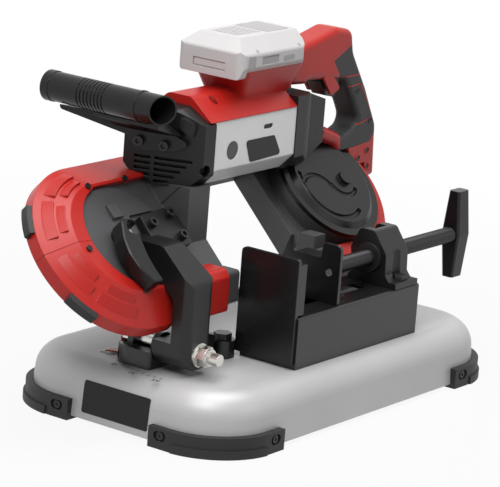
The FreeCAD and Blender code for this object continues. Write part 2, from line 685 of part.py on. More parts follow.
def main_frame():
    """The casting that carries both wheels: face plate, spine, throat walls, gear case and motor saddle."""
    low = 8.0
    turn = GUARD_EYE + 5
    left = IDLER_X - turn
    right = DRIVE_X + turn
    top = WHEEL_V + turn
    bottom = WHEEL_V - turn
    guard_end = IDLER_X + GUARD_RUN + 1
    corners = [(THROAT_LEFT, low, 3), (THROAT_LEFT, THROAT_TOP, 16), (THROAT_RIGHT, THROAT_TOP, 16),
               (THROAT_RIGHT, low, 3), (right - turn, low, 3), (right - turn + 12, bottom, 3),
               (right, bottom, turn - 13), (right, top, turn - 1), (DRIVE_X - 2, top, 2),
               (DRIVE_X - 2, FRAME_TOP, 3), (guard_end, FRAME_TOP, 3), (guard_end, top, 2),
               (left, top, turn - 1), (left, bottom, turn - 1), (THROAT_LEFT - 50, bottom, 3),
               (THROAT_LEFT - 35, low, 3)]
    face = plate(corners, level(FRAME_FACE - FRAME_PLATE), V(0, 0, FRAME_PLATE))
    inner = FRAME_FACE - FRAME_PLATE + 1
    roof = box(guard_end, DRIVE_X - 2, FRAME_TOP - FRAME_WALL, FRAME_TOP, FRAME_BACK, inner)
    sill = box(THROAT_LEFT - FRAME_WALL, THROAT_RIGHT + FRAME_WALL, THROAT_TOP, THROAT_TOP + FRAME_WALL,
               FRAME_BACK, inner)
    cheek_left = box(THROAT_LEFT - FRAME_WALL, THROAT_LEFT, low, THROAT_TOP + FRAME_WALL, FRAME_BACK, inner)
    cheek_right = box(THROAT_RIGHT, THROAT_RIGHT + FRAME_WALL, low, THROAT_TOP + FRAME_WALL, FRAME_BACK,
                      inner)
    frame = join(face, roof, sill, cheek_left, cheek_right, case_form(0))
    cavity = case_form(-4).common(box(-400, 400, -400, 400, FRAME_FACE + 0.5, CASE_FACE + 1))
    frame = frame.cut(cavity)
    frame = leaned(frame)
    saddle_z = MOTOR_Z - MOTOR_HALF + 6
    saddle_front = 5.0
    gusset = [(saddle_front, on_plane(saddle_front, FRAME_FACE - 2), 0), (saddle_front, saddle_z, 0),
              (saddle_z - on_plane(0, FRAME_FACE - 2), saddle_z, 0)]
    left_gusset = plate(gusset, facing_x(NOSE_LEFT + 4), V(THROAT_LEFT - NOSE_LEFT - 4, 0, 0))
    pocket = leaned(box(NOSE_LEFT, clamp_corners()[1][0] + 2, 40, 104, FRAME_FACE, 80))
    guard_room = leaned(box(NOSE_LEFT, guard_end, WHEEL_V + GUARD_EYE - CLEAR, 300, FRAME_FACE, 80))
    frame = join(frame, left_gusset.cut(pocket).cut(guard_room))
    axle = leaned(rod(SHAFT_RADIUS + RUN, V(IDLER_X, WHEEL_V, 0), Z_AXIS, 40))
    seat = leaned(rod(SHAFT_RADIUS + 6 + RUN, V(DRIVE_X, WHEEL_V, 0), Z_AXIS, 40))
    counter = leaned(rod(5 + RUN, V(COUNTER_X, MOTOR_V, 0), Z_AXIS, 40))
    for cut in (axle, seat, counter):
        frame = frame.cut(cut)
    for x, v in clamp_bolt_places():
        frame = frame.cut(leaned(rod(3 + RUN, V(x, v, 0), Z_AXIS, 40)))
    return frame


def guard_profile(eye, eye_w, brim):
    """Cross-section of a wheel guard: outer wall, sloping front and a lip at its eye, as (radius, w)."""
    wall = GUARD_WALL
    lip = FRAME_FACE + CLEAR
    return [(GUARD_RADIUS, FRAME_BACK), (GUARD_RADIUS, brim), (eye + 3, eye_w), (eye, eye_w), (eye, lip),
            (eye + wall, lip), (eye + wall, eye_w - wall), (GUARD_RADIUS - wall, brim - wall),
            (GUARD_RADIUS - wall, FRAME_BACK)]


def straight_guard(side, x0, x1):
    """The guard's section run straight along x above (side 1) or below (side -1) the idler wheel."""
    points = [V(x0, WHEEL_V + side * r, w) for r, w in guard_profile(GUARD_EYE, GUARD_LAND, 0)]
    return Part.Face(Part.makePolygon(points + points[:1])).extrude(V(x1 - x0, 0, 0))


def guard_land(start, sweep):
    """The flat crescent between the guard's slope and its eye, which is off the wheel's centre."""
    low = FRAME_FACE + CLEAR
    reach = GUARD_EYE + GUARD_WALL
    profile = [(0, low), (reach, low), (reach, GUARD_LAND), (0, GUARD_LAND)]
    eye = rod(GUARD_EYE, V(IDLER_X + EYE_SHIFT, WHEEL_V, 0), Z_AXIS, 2 * GUARD_LAND)
    return turned(profile, IDLER_X, start, sweep).cut(eye)


def guard_ribs(start, stop):
    """Raised facets spaced round the guard's sloping front."""
    facets = []
    span = GUARD_RADIUS - GUARD_EYE
    angle = start
    while angle + FACET_SPAN <= stop:
        for inner, outer, sweep in ((0.2, 0.48, FACET_SPAN * 0.8), (0.48, 0.84, FACET_SPAN)):
            slope = GUARD_LAND / (1 - GUARD_WALL / span)
            low = slope * (1 - inner) - FACET_RISE
            high = slope * (1 - outer) - FACET_RISE
            profile = [(GUARD_EYE + span * inner, low),
                       (GUARD_EYE + span * (inner + 0.06), low + 2 * FACET_RISE),
                       (GUARD_EYE + span * (outer - 0.06), high + 2 * FACET_RISE),
                       (GUARD_EYE + span * outer, high)]
            facets.append(turned(profile, IDLER_X, angle + (FACET_SPAN - sweep) / 2, sweep))
        angle += FACET_SPAN + FACET_GAP
    return facets


def idler_guard_upper():
    sweep = SEAM_ANGLE - 90 - 0.2
    bend = turned(guard_profile(GUARD_EYE, GUARD_LAND, 0), IDLER_X, 90, sweep)
    run = straight_guard(1, IDLER_X, IDLER_X + GUARD_RUN)
    shell = join(bend, run, guard_land(90, sweep), *guard_ribs(96, SEAM_ANGLE))
    return leaned(shell.cut(guard_screw_holes()))


def idler_guard_lower():
    bend = turned(guard_profile(GUARD_EYE, GUARD_LAND, 0), IDLER_X, SEAM_ANGLE, 270 - SEAM_ANGLE)
    run = straight_guard(-1, IDLER_X, PIVOT_X - ARM_HALF / 2)
    shell = join(bend, run, guard_land(SEAM_ANGLE, 270 - SEAM_ANGLE), *guard_ribs(SEAM_ANGLE + 5, 270))
    return leaned(shell.cut(guard_screw_holes())).cut(swing_arm())


def guard_screw_places():
    """Screws through the guard's lip towards the frame's face, as x, v on the wheel plane."""
    lip = GUARD_EYE + GUARD_WALL / 2
    return [(IDLER_X + a, WHEEL_V + b) for a, b in ((-6, lip), (50, lip), (-53, -4), (-12, -lip))]


def guard_screw_holes():
    holes = [rod(1.5 + RUN, V(x, v, 0), Z_AXIS, 40) for x, v in guard_screw_places()]
    return Part.makeCompound(holes)


def guard_screws():
    screws = []
    for x, v in guard_screw_places():
        head = rod(3.2, V(x, v, GUARD_LAND), Z_AXIS, 2)
        shank = rod(1.5, V(x, v, FRAME_FACE + CLEAR), Z_AXIS, GUARD_LAND - FRAME_FACE - CLEAR)
        screws.append(leaned(join(head, shank)))
    return Part.makeCompound(screws)


def guard_bumpers():
    """Rubber blocks set on the guard's outer wall."""
    blocks = []
    for angle in BUMPER_ANGLES:
        profile = [(GUARD_RADIUS, FRAME_BACK + 2), (GUARD_RADIUS + BUMPER, FRAME_BACK + 3),
                   (GUARD_RADIUS + BUMPER, -2), (GUARD_RADIUS, 0)]
        blocks.append(leaned(turned(profile, IDLER_X, angle, BUMPER_SPAN)))
    return Part.makeCompound(blocks)


def drive_guard():
    """A ring guard round the drive wheel, lipped in to the gear case."""
    case = GEAR_MODULE * DRIVE_TEETH / 2 + 8 + CLEAR
    wall = GUARD_WALL
    face = DRIVE_GUARD_FACE
    profile = [(GUARD_RADIUS, FRAME_BACK), (GUARD_RADIUS, face - 8), (GUARD_RADIUS - 8, face), (case, face),
               (case, face - 4), (GUARD_RADIUS - 10, face - 4), (GUARD_RADIUS - wall, face - 10),
               (GUARD_RADIUS - wall, FRAME_BACK)]
    half = turned(profile, DRIVE_X, -90, 180)
    run_start = GUIDE_RIGHT + CLEAR
    points = [V(run_start, WHEEL_V - r, w) for r, w in profile]
    run = Part.Face(Part.makePolygon(points + points[:1])).extrude(V(DRIVE_X - run_start, 0, 0))
    return leaned(join(half, run))


def idler_plate():
    """The grey disc in the idler guard's eye with its lug, bored for the wheel's axle."""
    disc = rod(GUARD_EYE - 1, V(IDLER_X + EYE_SHIFT, WHEEL_V, FRAME_FACE), Z_AXIS, 3)
    lug = box(IDLER_X + 5, IDLER_X + 20, WHEEL_V + 21, WHEEL_V + 36, FRAME_FACE, FRAME_FACE + 7)
    disc = join(disc, lug).cut(rod(SHAFT_RADIUS + RUN, V(IDLER_X, WHEEL_V, FRAME_FACE), Z_AXIS, 3))
    cut = box(clamp_corners()[0][0] - 3, 0, -100, clamp_corners()[-2][1] + 3, 0, 40)
    return leaned(disc.cut(cut)).cut(swing_arm())


def cover_disc(height):
    return rod(GEAR_MODULE * DRIVE_TEETH / 2 + 8, V(DRIVE_X, WHEEL_V, CASE_FACE), Z_AXIS, height)


def gear_cover():
    """The dark cover over the gear case with flowing grooves round a boss."""
    top = CASE_FACE + COVER_THICK + 4
    slab = cover_disc(COVER_THICK)
    dome = Part.makeCone(58, 52, 4, V(DRIVE_X, WHEEL_V, CASE_FACE + COVER_THICK - 0.01), Z_AXIS)
    boss = rod(8, V(DRIVE_X + 20, WHEEL_V - 2, CASE_FACE), Z_AXIS, COVER_THICK + 8)
    cover = join(slab, dome, boss)
    for across, up, radius, start, sweep in ((-29, -13, 24, 10, 120), (15, -1, 20, 186, 130),
                                             (-6, -3, 42, 150, 150)):
        groove = Part.makeTorus(radius, 2.6, V(0, 0, 0), Z_AXIS, 0, 360, sweep)
        groove.rotate(V(0, 0, 0), Z_AXIS, start)
        groove.translate(V(DRIVE_X + across, WHEEL_V + up, top))
        cover = cover.cut(groove)
    return leaned(cover)


def wheel(centre_x, bore):
    """A spoked-out wheel: rim, web with round windows, hub."""
    low = V(centre_x, WHEEL_V, WHEEL_LOW)
    rim = ring(WHEEL_RIM, WHEEL_RIM - 7, low, Z_AXIS, WHEEL_WIDTH)
    web = rod(WHEEL_RIM - 6, low + Z_AXIS * 4, Z_AXIS, 6)
    hub = rod(bore + 9, low, Z_AXIS, WHEEL_WIDTH)
    body = join(rim, web, hub)
    for k in range(WHEEL_HOLES):
        angle = math.radians(360 * k / WHEEL_HOLES)
        middle = low + V(44 * math.cos(angle), 44 * math.sin(angle), 0)
        body = body.cut(rod(14, middle, Z_AXIS, WHEEL_WIDTH))
    return leaned(body.cut(rod(bore + RUN, low, Z_AXIS, WHEEL_WIDTH)))


def tyre(centre_x):
    low = V(centre_x, WHEEL_V, WHEEL_LOW + 0.5)
    return leaned(ring(TYRE_RADIUS, WHEEL_RIM + RUN, low, Z_AXIS, WHEEL_WIDTH - 1))


def idler_axle():
    """The fixed axle pin, headed under the wheel and held in the frame's face."""
    low = WHEEL_LOW - 3
    pin = rod(SHAFT_RADIUS, V(IDLER_X, WHEEL_V, low), Z_AXIS, FRAME_FACE + 14 - low)
    head = rod(SHAFT_RADIUS + 4, V(IDLER_X, WHEEL_V, low - 3), Z_AXIS, 3)
    return leaned(join(pin, head))


def idler_bearing():
    start = V(IDLER_X, WHEEL_V, WHEEL_LOW)
    return leaned(ring(SHAFT_RADIUS + 6, SHAFT_RADIUS + RUN, start, Z_AXIS, WHEEL_WIDTH))


def drive_bearing():
    start = V(DRIVE_X, WHEEL_V, FRAME_FACE - FRAME_PLATE)
    return leaned(ring(SHAFT_RADIUS + 6, SHAFT_RADIUS + RUN, start, Z_AXIS, FRAME_PLATE))


def drive_shaft():
    low = WHEEL_LOW - 3
    pin = rod(SHAFT_RADIUS, V(DRIVE_X, WHEEL_V, low), Z_AXIS, GEAR_W + GEAR_WIDTH + 2 - low)
    head = hexagon(SHAFT_RADIUS * 1.6, V(DRIVE_X, WHEEL_V, low - 4), Z_AXIS, 4)
    return leaned(join(pin, head))


def gear_wire(teeth, pitch_radius, centre, phase):
    """A toothed wire round centre in the x, v plane, tooth depth from the pitch radius."""
    module = 2 * pitch_radius / teeth
    points = []
    for k in range(teeth):
        for share, depth in ((-0.30, -1.15), (-0.12, 0.85), (0.12, 0.85), (0.30, -1.15)):
            angle = 2 * math.pi * (k + share) / teeth + phase
            reach = pitch_radius + module * depth
            points.append(centre + V(reach * math.cos(angle), reach * math.sin(angle), 0))
    return Part.makePolygon(points + points[:1])


def mesh_angle():
    """Direction from the drive gear's centre to the counter gear's centre."""
    return math.atan2(MOTOR_RISE, COUNTER_X - DRIVE_X)


def drive_gear():
    centre = V(DRIVE_X, WHEEL_V, GEAR_W)
    wire = gear_wire(DRIVE_TEETH, GEAR_MODULE * DRIVE_TEETH / 2, centre, mesh_angle())
    body = Part.Face(wire).extrude(V(0, 0, GEAR_WIDTH))
    return leaned(body.cut(rod(SHAFT_RADIUS + RUN, centre, Z_AXIS, GEAR_WIDTH)))


def bevel(teeth, radius, start, length):
    """A straight bevel gear blank with lofted teeth, large end at start, drawn up its own axis."""
    large = gear_wire(teeth, radius, V(0, 0, 0), 0)
    small = gear_wire(teeth, radius - length, V(0, 0, length), 0)
    body = Part.makeLoft([large, small], True, True)
    body.translate(start)
    return body


def counter_gear():
    """Counter shaft with the spur pinion below and the bevel gear above."""
    low = FRAME_FACE - FRAME_PLATE
    centre = V(COUNTER_X, MOTOR_V, GEAR_W)
    shaft = rod(5, V(COUNTER_X, MOTOR_V, low), Z_AXIS, MOTOR_W - BEVEL_RADIUS - low)
    phase = mesh_angle() + math.pi + math.pi / PINION_TEETH
    rim = gear_wire(PINION_TEETH, GEAR_MODULE * PINION_TEETH / 2, centre, phase)
    pinion = Part.Face(rim).extrude(V(0, 0, GEAR_WIDTH))
    cone = bevel(BEVEL_TEETH, BEVEL_RADIUS, V(COUNTER_X, MOTOR_V, MOTOR_W - BEVEL_RADIUS), BEVEL_LENGTH)
    return leaned(join(shaft, pinion, cone))


def motor_rotor():
    """Armature, cooling fan, shaft and bevel pinion on the motor's axis."""
    shaft_left = NOSE_LEFT + 22
    cone_x = COUNTER_X - BEVEL_RADIUS
    shaft = rod(5, V(shaft_left, MOTOR_Y, MOTOR_Z), X_AXIS, cone_x - shaft_left + 1)
    core = rod(ROTOR_BORE - 6, V(MOTOR_LEFT + 38, MOTOR_Y, MOTOR_Z), X_AXIS, 62)
    fan = rod(ROTOR_BORE - 4, V(MOTOR_LEFT - 6, MOTOR_Y, MOTOR_Z), X_AXIS, 4)
    cone = bevel(BEVEL_TEETH, BEVEL_RADIUS, V(0, 0, 0), BEVEL_LENGTH)
    cone.rotate(V(0, 0, 0), Z_AXIS, 180 / BEVEL_TEETH)
    cone.rotate(V(0, 0, 0), Y_AXIS, 90)
    cone.rotate(V(0, 0, 0), X_AXIS, LEAN)
    cone.translate(V(cone_x - CLEAR * 2, MOTOR_Y, MOTOR_Z))
    rotor = join(shaft, core, fan, cone)
    for k in range(8):
        blade = box(MOTOR_LEFT - 12, MOTOR_LEFT - 4, MOTOR_Y - 1, MOTOR_Y + 1, MOTOR_Z + 8,
                    MOTOR_Z + ROTOR_BORE - 4)
        blade.rotate(V(0, MOTOR_Y, MOTOR_Z), X_AXIS, 45 * k)
        rotor = join(rotor, blade)
    return rotor


def blade_section(x, v, w, twist):
    """The blade's cross-section wire at x: twist turns its width from w towards the vertical."""
    angle = math.radians(twist)
    wide = V(0, math.sin(angle), math.cos(angle)) * (BLADE_WIDTH / 2)
    thin = V(0, math.cos(angle), -math.sin(angle)) * (BLADE_THICK / 2)
    middle = V(x, v, w)
    points = [middle + wide + thin, middle - wide + thin, middle - wide - thin, middle + wide - thin]
    return Part.makePolygon(points + points[:1])


def guided_run():
    """Where the guides hold the blade, as v and w on the wheel plane."""
    dy = BLADE_Y - PLANE_Y
    dz = BLADE_Z - PLANE_Z
    return COS * dy + SIN * dz, COS * dz - SIN * dy


def tooth(root, along, outward):
    """One tooth: a thin raked prism standing on the blade's edge at root."""
    side = along.cross(outward)
    half = BLADE_THICK * 0.36
    start = root - side * half - outward * 0.8
    points = [start, start + along * (TOOTH_PITCH * 0.8), start + outward * (TOOTH_HEIGHT + 0.8)]
    return Part.Face(Part.makePolygon(points + points[:1])).extrude(side * (2 * half))


def blade_stations():
    """Tooth roots round the loop: place on the toothed edge, direction of travel, outward direction."""
    guide_v, guide_w = guided_run()
    low = WHEEL_MID - BLADE_WIDTH / 2
    radius = WHEEL_V
    half = BLADE_WIDTH / 2
    twisted = V(0, guide_v - SIN * half, guide_w - COS * half)
    plain = V(0, 0, low)
    runs = [(IDLER_X, plain, GUIDE_LEFT, twisted), (GUIDE_LEFT, twisted, GUIDE_RIGHT, twisted),
            (GUIDE_RIGHT, twisted, DRIVE_X, plain)]
    stations = []
    for x0, edge0, x1, edge1 in runs:
        count = int((x1 - x0) / TOOTH_PITCH)
        for k in range(count):
            share = (k + 0.1) / count
            edge = edge0 + (edge1 - edge0) * share
            lean = LEAN * (1 if edge0 == edge1 else share if edge1 == twisted else 1 - share)
            outward = V(0, -math.sin(math.radians(lean)), -math.cos(math.radians(lean)))
            stations.append((V(x0 + (x1 - x0) * share, edge.y, edge.z), X_AXIS, outward))
    count = int(WHEEL_SPAN / TOOTH_PITCH)
    for k in range(count):
        x = DRIVE_X - WHEEL_SPAN * (k + 0.1) / count
        stations.append((V(x, 2 * radius, low), -X_AXIS, -Z_AXIS))
    count = int(math.pi * radius / TOOTH_PITCH)
    for centre, first in ((DRIVE_X, -90), (IDLER_X, 90)):
        for k in range(count):
            angle = math.radians(first + 180 * (k + 0.3) / count)
            out = V(math.cos(angle), math.sin(angle), 0)
            along = V(-math.sin(angle), math.cos(angle), 0)
            stations.append((V(centre, WHEEL_V, low) + out * radius, along, -Z_AXIS))
    return stations


def saw_blade():
    """The endless blade: half rings on the wheels, a straight upper run and a lower run twisted upright."""
    guide_v, guide_w = guided_run()
    sections = [blade_section(IDLER_X, 0, WHEEL_MID, 0), blade_section(GUIDE_LEFT, guide_v, guide_w, LEAN),
                blade_section(GUIDE_RIGHT, guide_v, guide_w, LEAN), blade_section(DRIVE_X, 0, WHEEL_MID, 0)]
    lower = Part.makeLoft(sections, True, True)
    w0 = WHEEL_MID - BLADE_WIDTH / 2
    w1 = WHEEL_MID + BLADE_WIDTH / 2
    inner = WHEEL_V - BLADE_THICK / 2
    outer = WHEEL_V + BLADE_THICK / 2
    upper = box(IDLER_X, DRIVE_X, WHEEL_V + inner, WHEEL_V + outer, w0, w1)
    profile = [(inner, w0), (outer, w0), (outer, w1), (inner, w1)]
    bends = [turned(profile, IDLER_X, 90, 180), turned(profile, DRIVE_X, -90, 180)]
    teeth = [tooth(*station) for station in blade_stations()]
    return leaned(lower.multiFuse([upper] + bends + teeth))


def guide_block(x0, x1):
    """A cast guide with a slot for the blade's back and a pocket for its roller."""
    top = BLADE_Z + BLADE_WIDTH / 2 + CLEAR + 2 * ROLLER_RADIUS + 10
    low = BLADE_Z - 2
    corners = [(BLADE_Y - 10, low, 2), (BLADE_Y + 10, low, 2), (BLADE_Y + 14, top - 6, 4),
               (BLADE_Y + 14, top, 4), (BLADE_Y - 10, top, 4)]
    block = plate(corners, facing_x(x0), V(x1 - x0, 0, 0))
    slot = BLADE_THICK / 2 + 0.2
    block = block.cut(box(x0 - 1, x1 + 1, BLADE_Y - slot, BLADE_Y + slot, low - 1,
                          BLADE_Z + BLADE_WIDTH / 2 + 2))
    middle = roller_centre((x0 + x1) / 2)
    reach = ROLLER_RADIUS + 1
    pocket = box(middle.x - reach, middle.x + reach, BLADE_Y - 4, BLADE_Y + 4,
                 BLADE_Z + BLADE_WIDTH / 2 - 1, middle.z + reach)
    pin = rod(2.5, middle - Y_AXIS * 10, Y_AXIS, 20)
    return join(block.cut(pocket), pin)


def roller_centre(x):
    return V(x, BLADE_Y, BLADE_Z + BLADE_WIDTH / 2 + CLEAR + ROLLER_RADIUS)


def guide_roller(x):
    """A ball-race roller that backs the blade."""
    middle = roller_centre(x)
    return ring(ROLLER_RADIUS, 2.5 + RUN, middle - Y_AXIS * 3, Y_AXIS, 6)


def left_guide():
    return guide_block(*LEFT_GUIDE).cut(main_frame_shape())


def right_guide():
    block = guide_block(*RIGHT_GUIDE)
    post = box(RIGHT_GUIDE[0], RIGHT_GUIDE[1], BLADE_Y - 8, BLADE_Y + 12, roller_centre(0).z + 10,
               roller_centre(0).z + 30)
    return join(block, post).cut(main_frame_shape())


def guide_cover():
    """The red hood that bridges the blade from the arm to the left guide."""
    x0 = PIVOT_X + ARM_HALF + 5
    x1 = LEFT_GUIDE[0] - 0.5
    top = BLADE_Z + 34
    outer = [(BLADE_Y - 12, BLADE_Z - 10, 4), (BLADE_Y + 4, BLADE_Z - 10, 2), (BLADE_Y + 20, BLADE_Z + 10, 2),
             (BLADE_Y + 20, top, 6), (BLADE_Y - 6, top, 6), (BLADE_Y - 12, top - 8, 4)]
    inner = [(BLADE_Y - 9, BLADE_Z - 14, 0), (BLADE_Y + 16, BLADE_Z - 14, 0), (BLADE_Y + 16, top - 3, 4),
             (BLADE_Y - 5, top - 3, 4), (BLADE_Y - 9, top - 10, 3)]
    hood = plate(outer, facing_x(x0), V(x1 - x0, 0, 0))
    hood = hood.cut(plate(inner, facing_x(x0 - 1), V(x1 - x0 + 2, 0, 0)))
    return largest(hood.cut(main_frame_shape()))


def tension_lever():
    """The blade tension lever: a tall curved paddle on the axle's end, clear of the guard's screws."""
    base = FRAME_FACE + 3 + CLEAR
    under = GUARD_LAND + 2.5
    hub = rod(11, V(IDLER_X, WHEEL_V, base), Z_AXIS, under - base + 1)
    form = [(-9, 11, 5), (7.5, 9, 6), (7.5, 0, 10), (3, -11, 30), (-2, -30, 60), (-2.5, -49, 40),
            (-1, -61, 2), (-15, -60, 4), (-22.5, -45.5, 30), (-24.5, -24.5, 30), (-20, -8, 20), (-13, 4, 8)]
    paddle = plate([(IDLER_X + a, WHEEL_V + b, r) for a, b, r in form], level(under), V(0, 0, 15))
    rim = [e for e in paddle.Edges if all(abs(p.Z - under - 15) < 1e-6 for p in e.Vertexes)]
    lever = join(hub, paddle.makeChamfer(1.2, rim))
    return leaned(lever.cut(rod(SHAFT_RADIUS + RUN, V(IDLER_X, WHEEL_V, 0), Z_AXIS, 60)))


def motor_corners(half_y, low, high, cut):
    """The motor body's cross-section: flat sides with cut-off lower corners, as y, z corners."""
    return [(MOTOR_Y - half_y, low + cut, 3), (MOTOR_Y - half_y + cut, low, 5),
            (MOTOR_Y + half_y - cut, low, 5), (MOTOR_Y + half_y, low + cut, 3), (MOTOR_Y + half_y, high, 1),
            (MOTOR_Y - half_y, high, 1)]


def saddle_cut():
    """What the motor body gives way to: everything below the frame's face, and the gear case."""
    below = leaned(box(-400, 400, -300, 400, -200, FRAME_FACE + 0.02))
    case = leaned(case_form(0.02))
    return below.fuse(case)


def motor_housing():
    low = MOTOR_Z - MOTOR_HALF + 3
    body = plate(motor_corners(MOTOR_HALF, low, SPLIT_Z, 17), facing_x(MOTOR_LEFT),
                 V(MOTOR_RIGHT - MOTOR_LEFT, 0, 0))
    body = body.cut(rod(ROTOR_BORE, V(MOTOR_LEFT - 1, MOTOR_Y, MOTOR_Z), X_AXIS,
                        MOTOR_RIGHT - MOTOR_LEFT + 2))
    front = MOTOR_Y - MOTOR_HALF
    body = body.cut(rod(9.5, V(-75, front, 258), Y_AXIS, 0.8))
    slot = [(-25, 273, 2.4), (-9, 273, 2.4), (-9, 278, 2.4), (-25, 278, 2.4)]
    body = body.cut(plate(slot, facing_y(front), V(0, 1.5, 0)))
    return body.cut(saddle_cut()).cut(main_frame_shape())


def motor_end_cap():
    """The black cap over the bevel gears, tapering behind the finger gap."""
    low = MOTOR_Z - MOTOR_HALF + 2
    sections = []
    for x, half, drop, lift in ((MOTOR_RIGHT, MOTOR_HALF + 1, 0, 0), (MOTOR_RIGHT + 32, MOTOR_HALF, 0, 0),
                                (COUNTER_X + BEVEL_RADIUS + 6, 26, 6, -14)):
        sections.append(outline(motor_corners(half, low + drop, SPLIT_Z + CAP_RISE + lift, 14), facing_x(x)))
    cap = Part.makeLoft(sections, True, True)
    front = MOTOR_Y - MOTOR_HALF - 2
    slant = [(MOTOR_RIGHT + 15, front, 0), (MOTOR_RIGHT + 46, MOTOR_Y - 24, 8),
             (COUNTER_X + 40, MOTOR_Y - 24, 0), (COUNTER_X + 40, front, 0)]
    cap = cap.cut(plate(slant, level(low - 1), V(0, 0, 2 * MOTOR_HALF + 40)))
    cap = cap.cut(rod(ROTOR_BORE - 7, V(MOTOR_RIGHT - 1, MOTOR_Y, MOTOR_Z), X_AXIS,
                      COUNTER_X + BEVEL_RADIUS - MOTOR_RIGHT))
    well = leaned(rod(BEVEL_RADIUS + 4, V(COUNTER_X, MOTOR_V, FRAME_FACE), Z_AXIS, MOTOR_W - FRAME_FACE))
    return cap.cut(well).cut(saddle_cut()).cut(gear_cover())


def nose_corners(half, low, high):
    """The nose's cross-section, its upper corners sloped under the top shell, as y, z corners."""
    brow = SPLIT_Z - 2
    return [(MOTOR_Y - half, low + 15, 3), (MOTOR_Y - half + 15, low, 5), (MOTOR_Y + half - 15, low, 5),
            (MOTOR_Y + half, low + 15, 3), (MOTOR_Y + half, brow, 2), (MOTOR_Y + half - 28, high, 6),
            (MOTOR_Y - half + 28, high, 6), (MOTOR_Y - half, brow, 2)]


def nose_housing():
    """The motor's left end: a slanting face with cooling slots, a raised block and the handle's seat."""
    low = MOTOR_Z - MOTOR_HALF + 2
    sections = []
    for x, half, lift, rise in ((NOSE_LEFT - 16, MOTOR_HALF - 6, 6, 6), (NOSE_LEFT + 12, MOTOR_HALF, 0, 11),
                                (MOTOR_LEFT, MOTOR_HALF + 1, 0, 14)):
        sections.append(outline(nose_corners(half, low + lift, SPLIT_Z + rise), facing_x(x)))
    nose = Part.makeLoft(sections, True, True)
    nose = nose.cut(at_nose(box(NOSE_LEFT - 80, NOSE_LEFT, MOTOR_Y - 90, MOTOR_Y + 90, low - 20,
                                SPLIT_Z + 60)))
    raised = ((-18, 284, 2), (-33, 275, 2), (-36, 288, 4), (-25, 294, 3), (-18, 294, 2))
    block = [(MOTOR_Y + a, b, r) for a, b, r in raised]
    nose = join(nose, at_nose(plate(block, facing_x(NOSE_LEFT - 5), V(8, 0, 0))))
    nose = nose.cut(rod(ROTOR_BORE, V(NOSE_LEFT + 20, MOTOR_Y, MOTOR_Z), X_AXIS, 100))
    for row in range(5):
        z = 249 - 5.8 * row
        for near, far in ((-33 + 6 * row, 6), (10, 27)):
            slot = box(NOSE_LEFT - 1, NOSE_LEFT + 7, MOTOR_Y + near, MOTOR_Y + far, z, z + 2.8)
            nose = nose.cut(at_nose(slot))
    for place in handle_bolt_places():
        nose = nose.cut(at_nose(rod(3 + RUN, place - X_AXIS, X_AXIS, 12)))
    nose = nose.cut(rod(6, V(MOTOR_LEFT - 12, MOTOR_Y - MOTOR_HALF - 2, low + 20), Y_AXIS, 9))
    lap = box(MOTOR_LEFT - SHELL_LAP, MOTOR_LEFT + 1, MOTOR_Y - 60, MOTOR_Y + 60, SPLIT_Z, SPLIT_Z + 60)
    profile = [(0, FRAME_BACK)] + guard_profile(GUARD_EYE, GUARD_LAND, 0)[:4] + [(0, GUARD_LAND)]
    points = [V(IDLER_X, WHEEL_V + r, w) for r, w in profile]
    run = Part.Face(Part.makePolygon(points + points[:1])).extrude(V(GUARD_RUN, 0, 0))
    return largest(nose.cut(lap).cut(saddle_cut()).cut(main_frame_shape()).cut(leaned(run)))


def battery_place(shape):
    """Set a shape drawn from the battery's lower near left corner in its place."""
    moved = shape.copy()
    moved.translate(V(BATTERY_X, MOTOR_Y - BATTERY_WIDTH / 2, BATTERY_Z))
    return moved


def rail_block(grow):
    """The seat's rail, drawn from the battery's corner."""
    middle = BATTERY_WIDTH / 2
    half = RAIL_WIDTH / 2 + grow
    return box(18 - grow, BATTERY_LENGTH - 4, middle - half, middle + half, -3, RAIL_HEIGHT + grow)


def top_housing():
    """The red upper shell of the motor with the battery's seat on a flared neck."""
    form = [(MOTOR_Y - MOTOR_HALF - 1, SPLIT_Z, 0), (MOTOR_Y + MOTOR_HALF + 1, SPLIT_Z, 0),
            (MOTOR_Y + MOTOR_HALF - 27, SPLIT_Z + 22, 10), (MOTOR_Y - MOTOR_HALF + 27, SPLIT_Z + 22, 10)]
    shell = plate(form, facing_x(MOTOR_LEFT - SHELL_LAP), V(MOTOR_RIGHT - MOTOR_LEFT + SHELL_LAP, 0, 0))
    shell = shell.cut(rod(4.5, V(MOTOR_LEFT + 20, MOTOR_Y - MOTOR_HALF / 2, SPLIT_Z + 12), Z_AXIS, 20))
    neck_wires = []
    for z, inset in ((SPLIT_Z + CAP_RISE + CLEAR, 15), (BATTERY_Z - CLEAR, 4)):
        form = rectangle(BATTERY_LENGTH - 2 * inset, BATTERY_WIDTH - 2 * inset - 4, 8)
        wire = outline(form, level(z))
        wire.translate(V(BATTERY_X + BATTERY_LENGTH / 2 + 12, MOTOR_Y, 0))
        neck_wires.append(wire)
    neck = Part.makeLoft(neck_wires, True, True)
    root = box(MOTOR_RIGHT - 20, HANDLE_ROOT, MOTOR_Y - GRIP_WIDTH / 2, MOTOR_Y + GRIP_WIDTH / 2,
               SPLIT_Z + 12, BATTERY_Z - CLEAR)
    return join(shell, neck, root, battery_place(rail_block(0)))


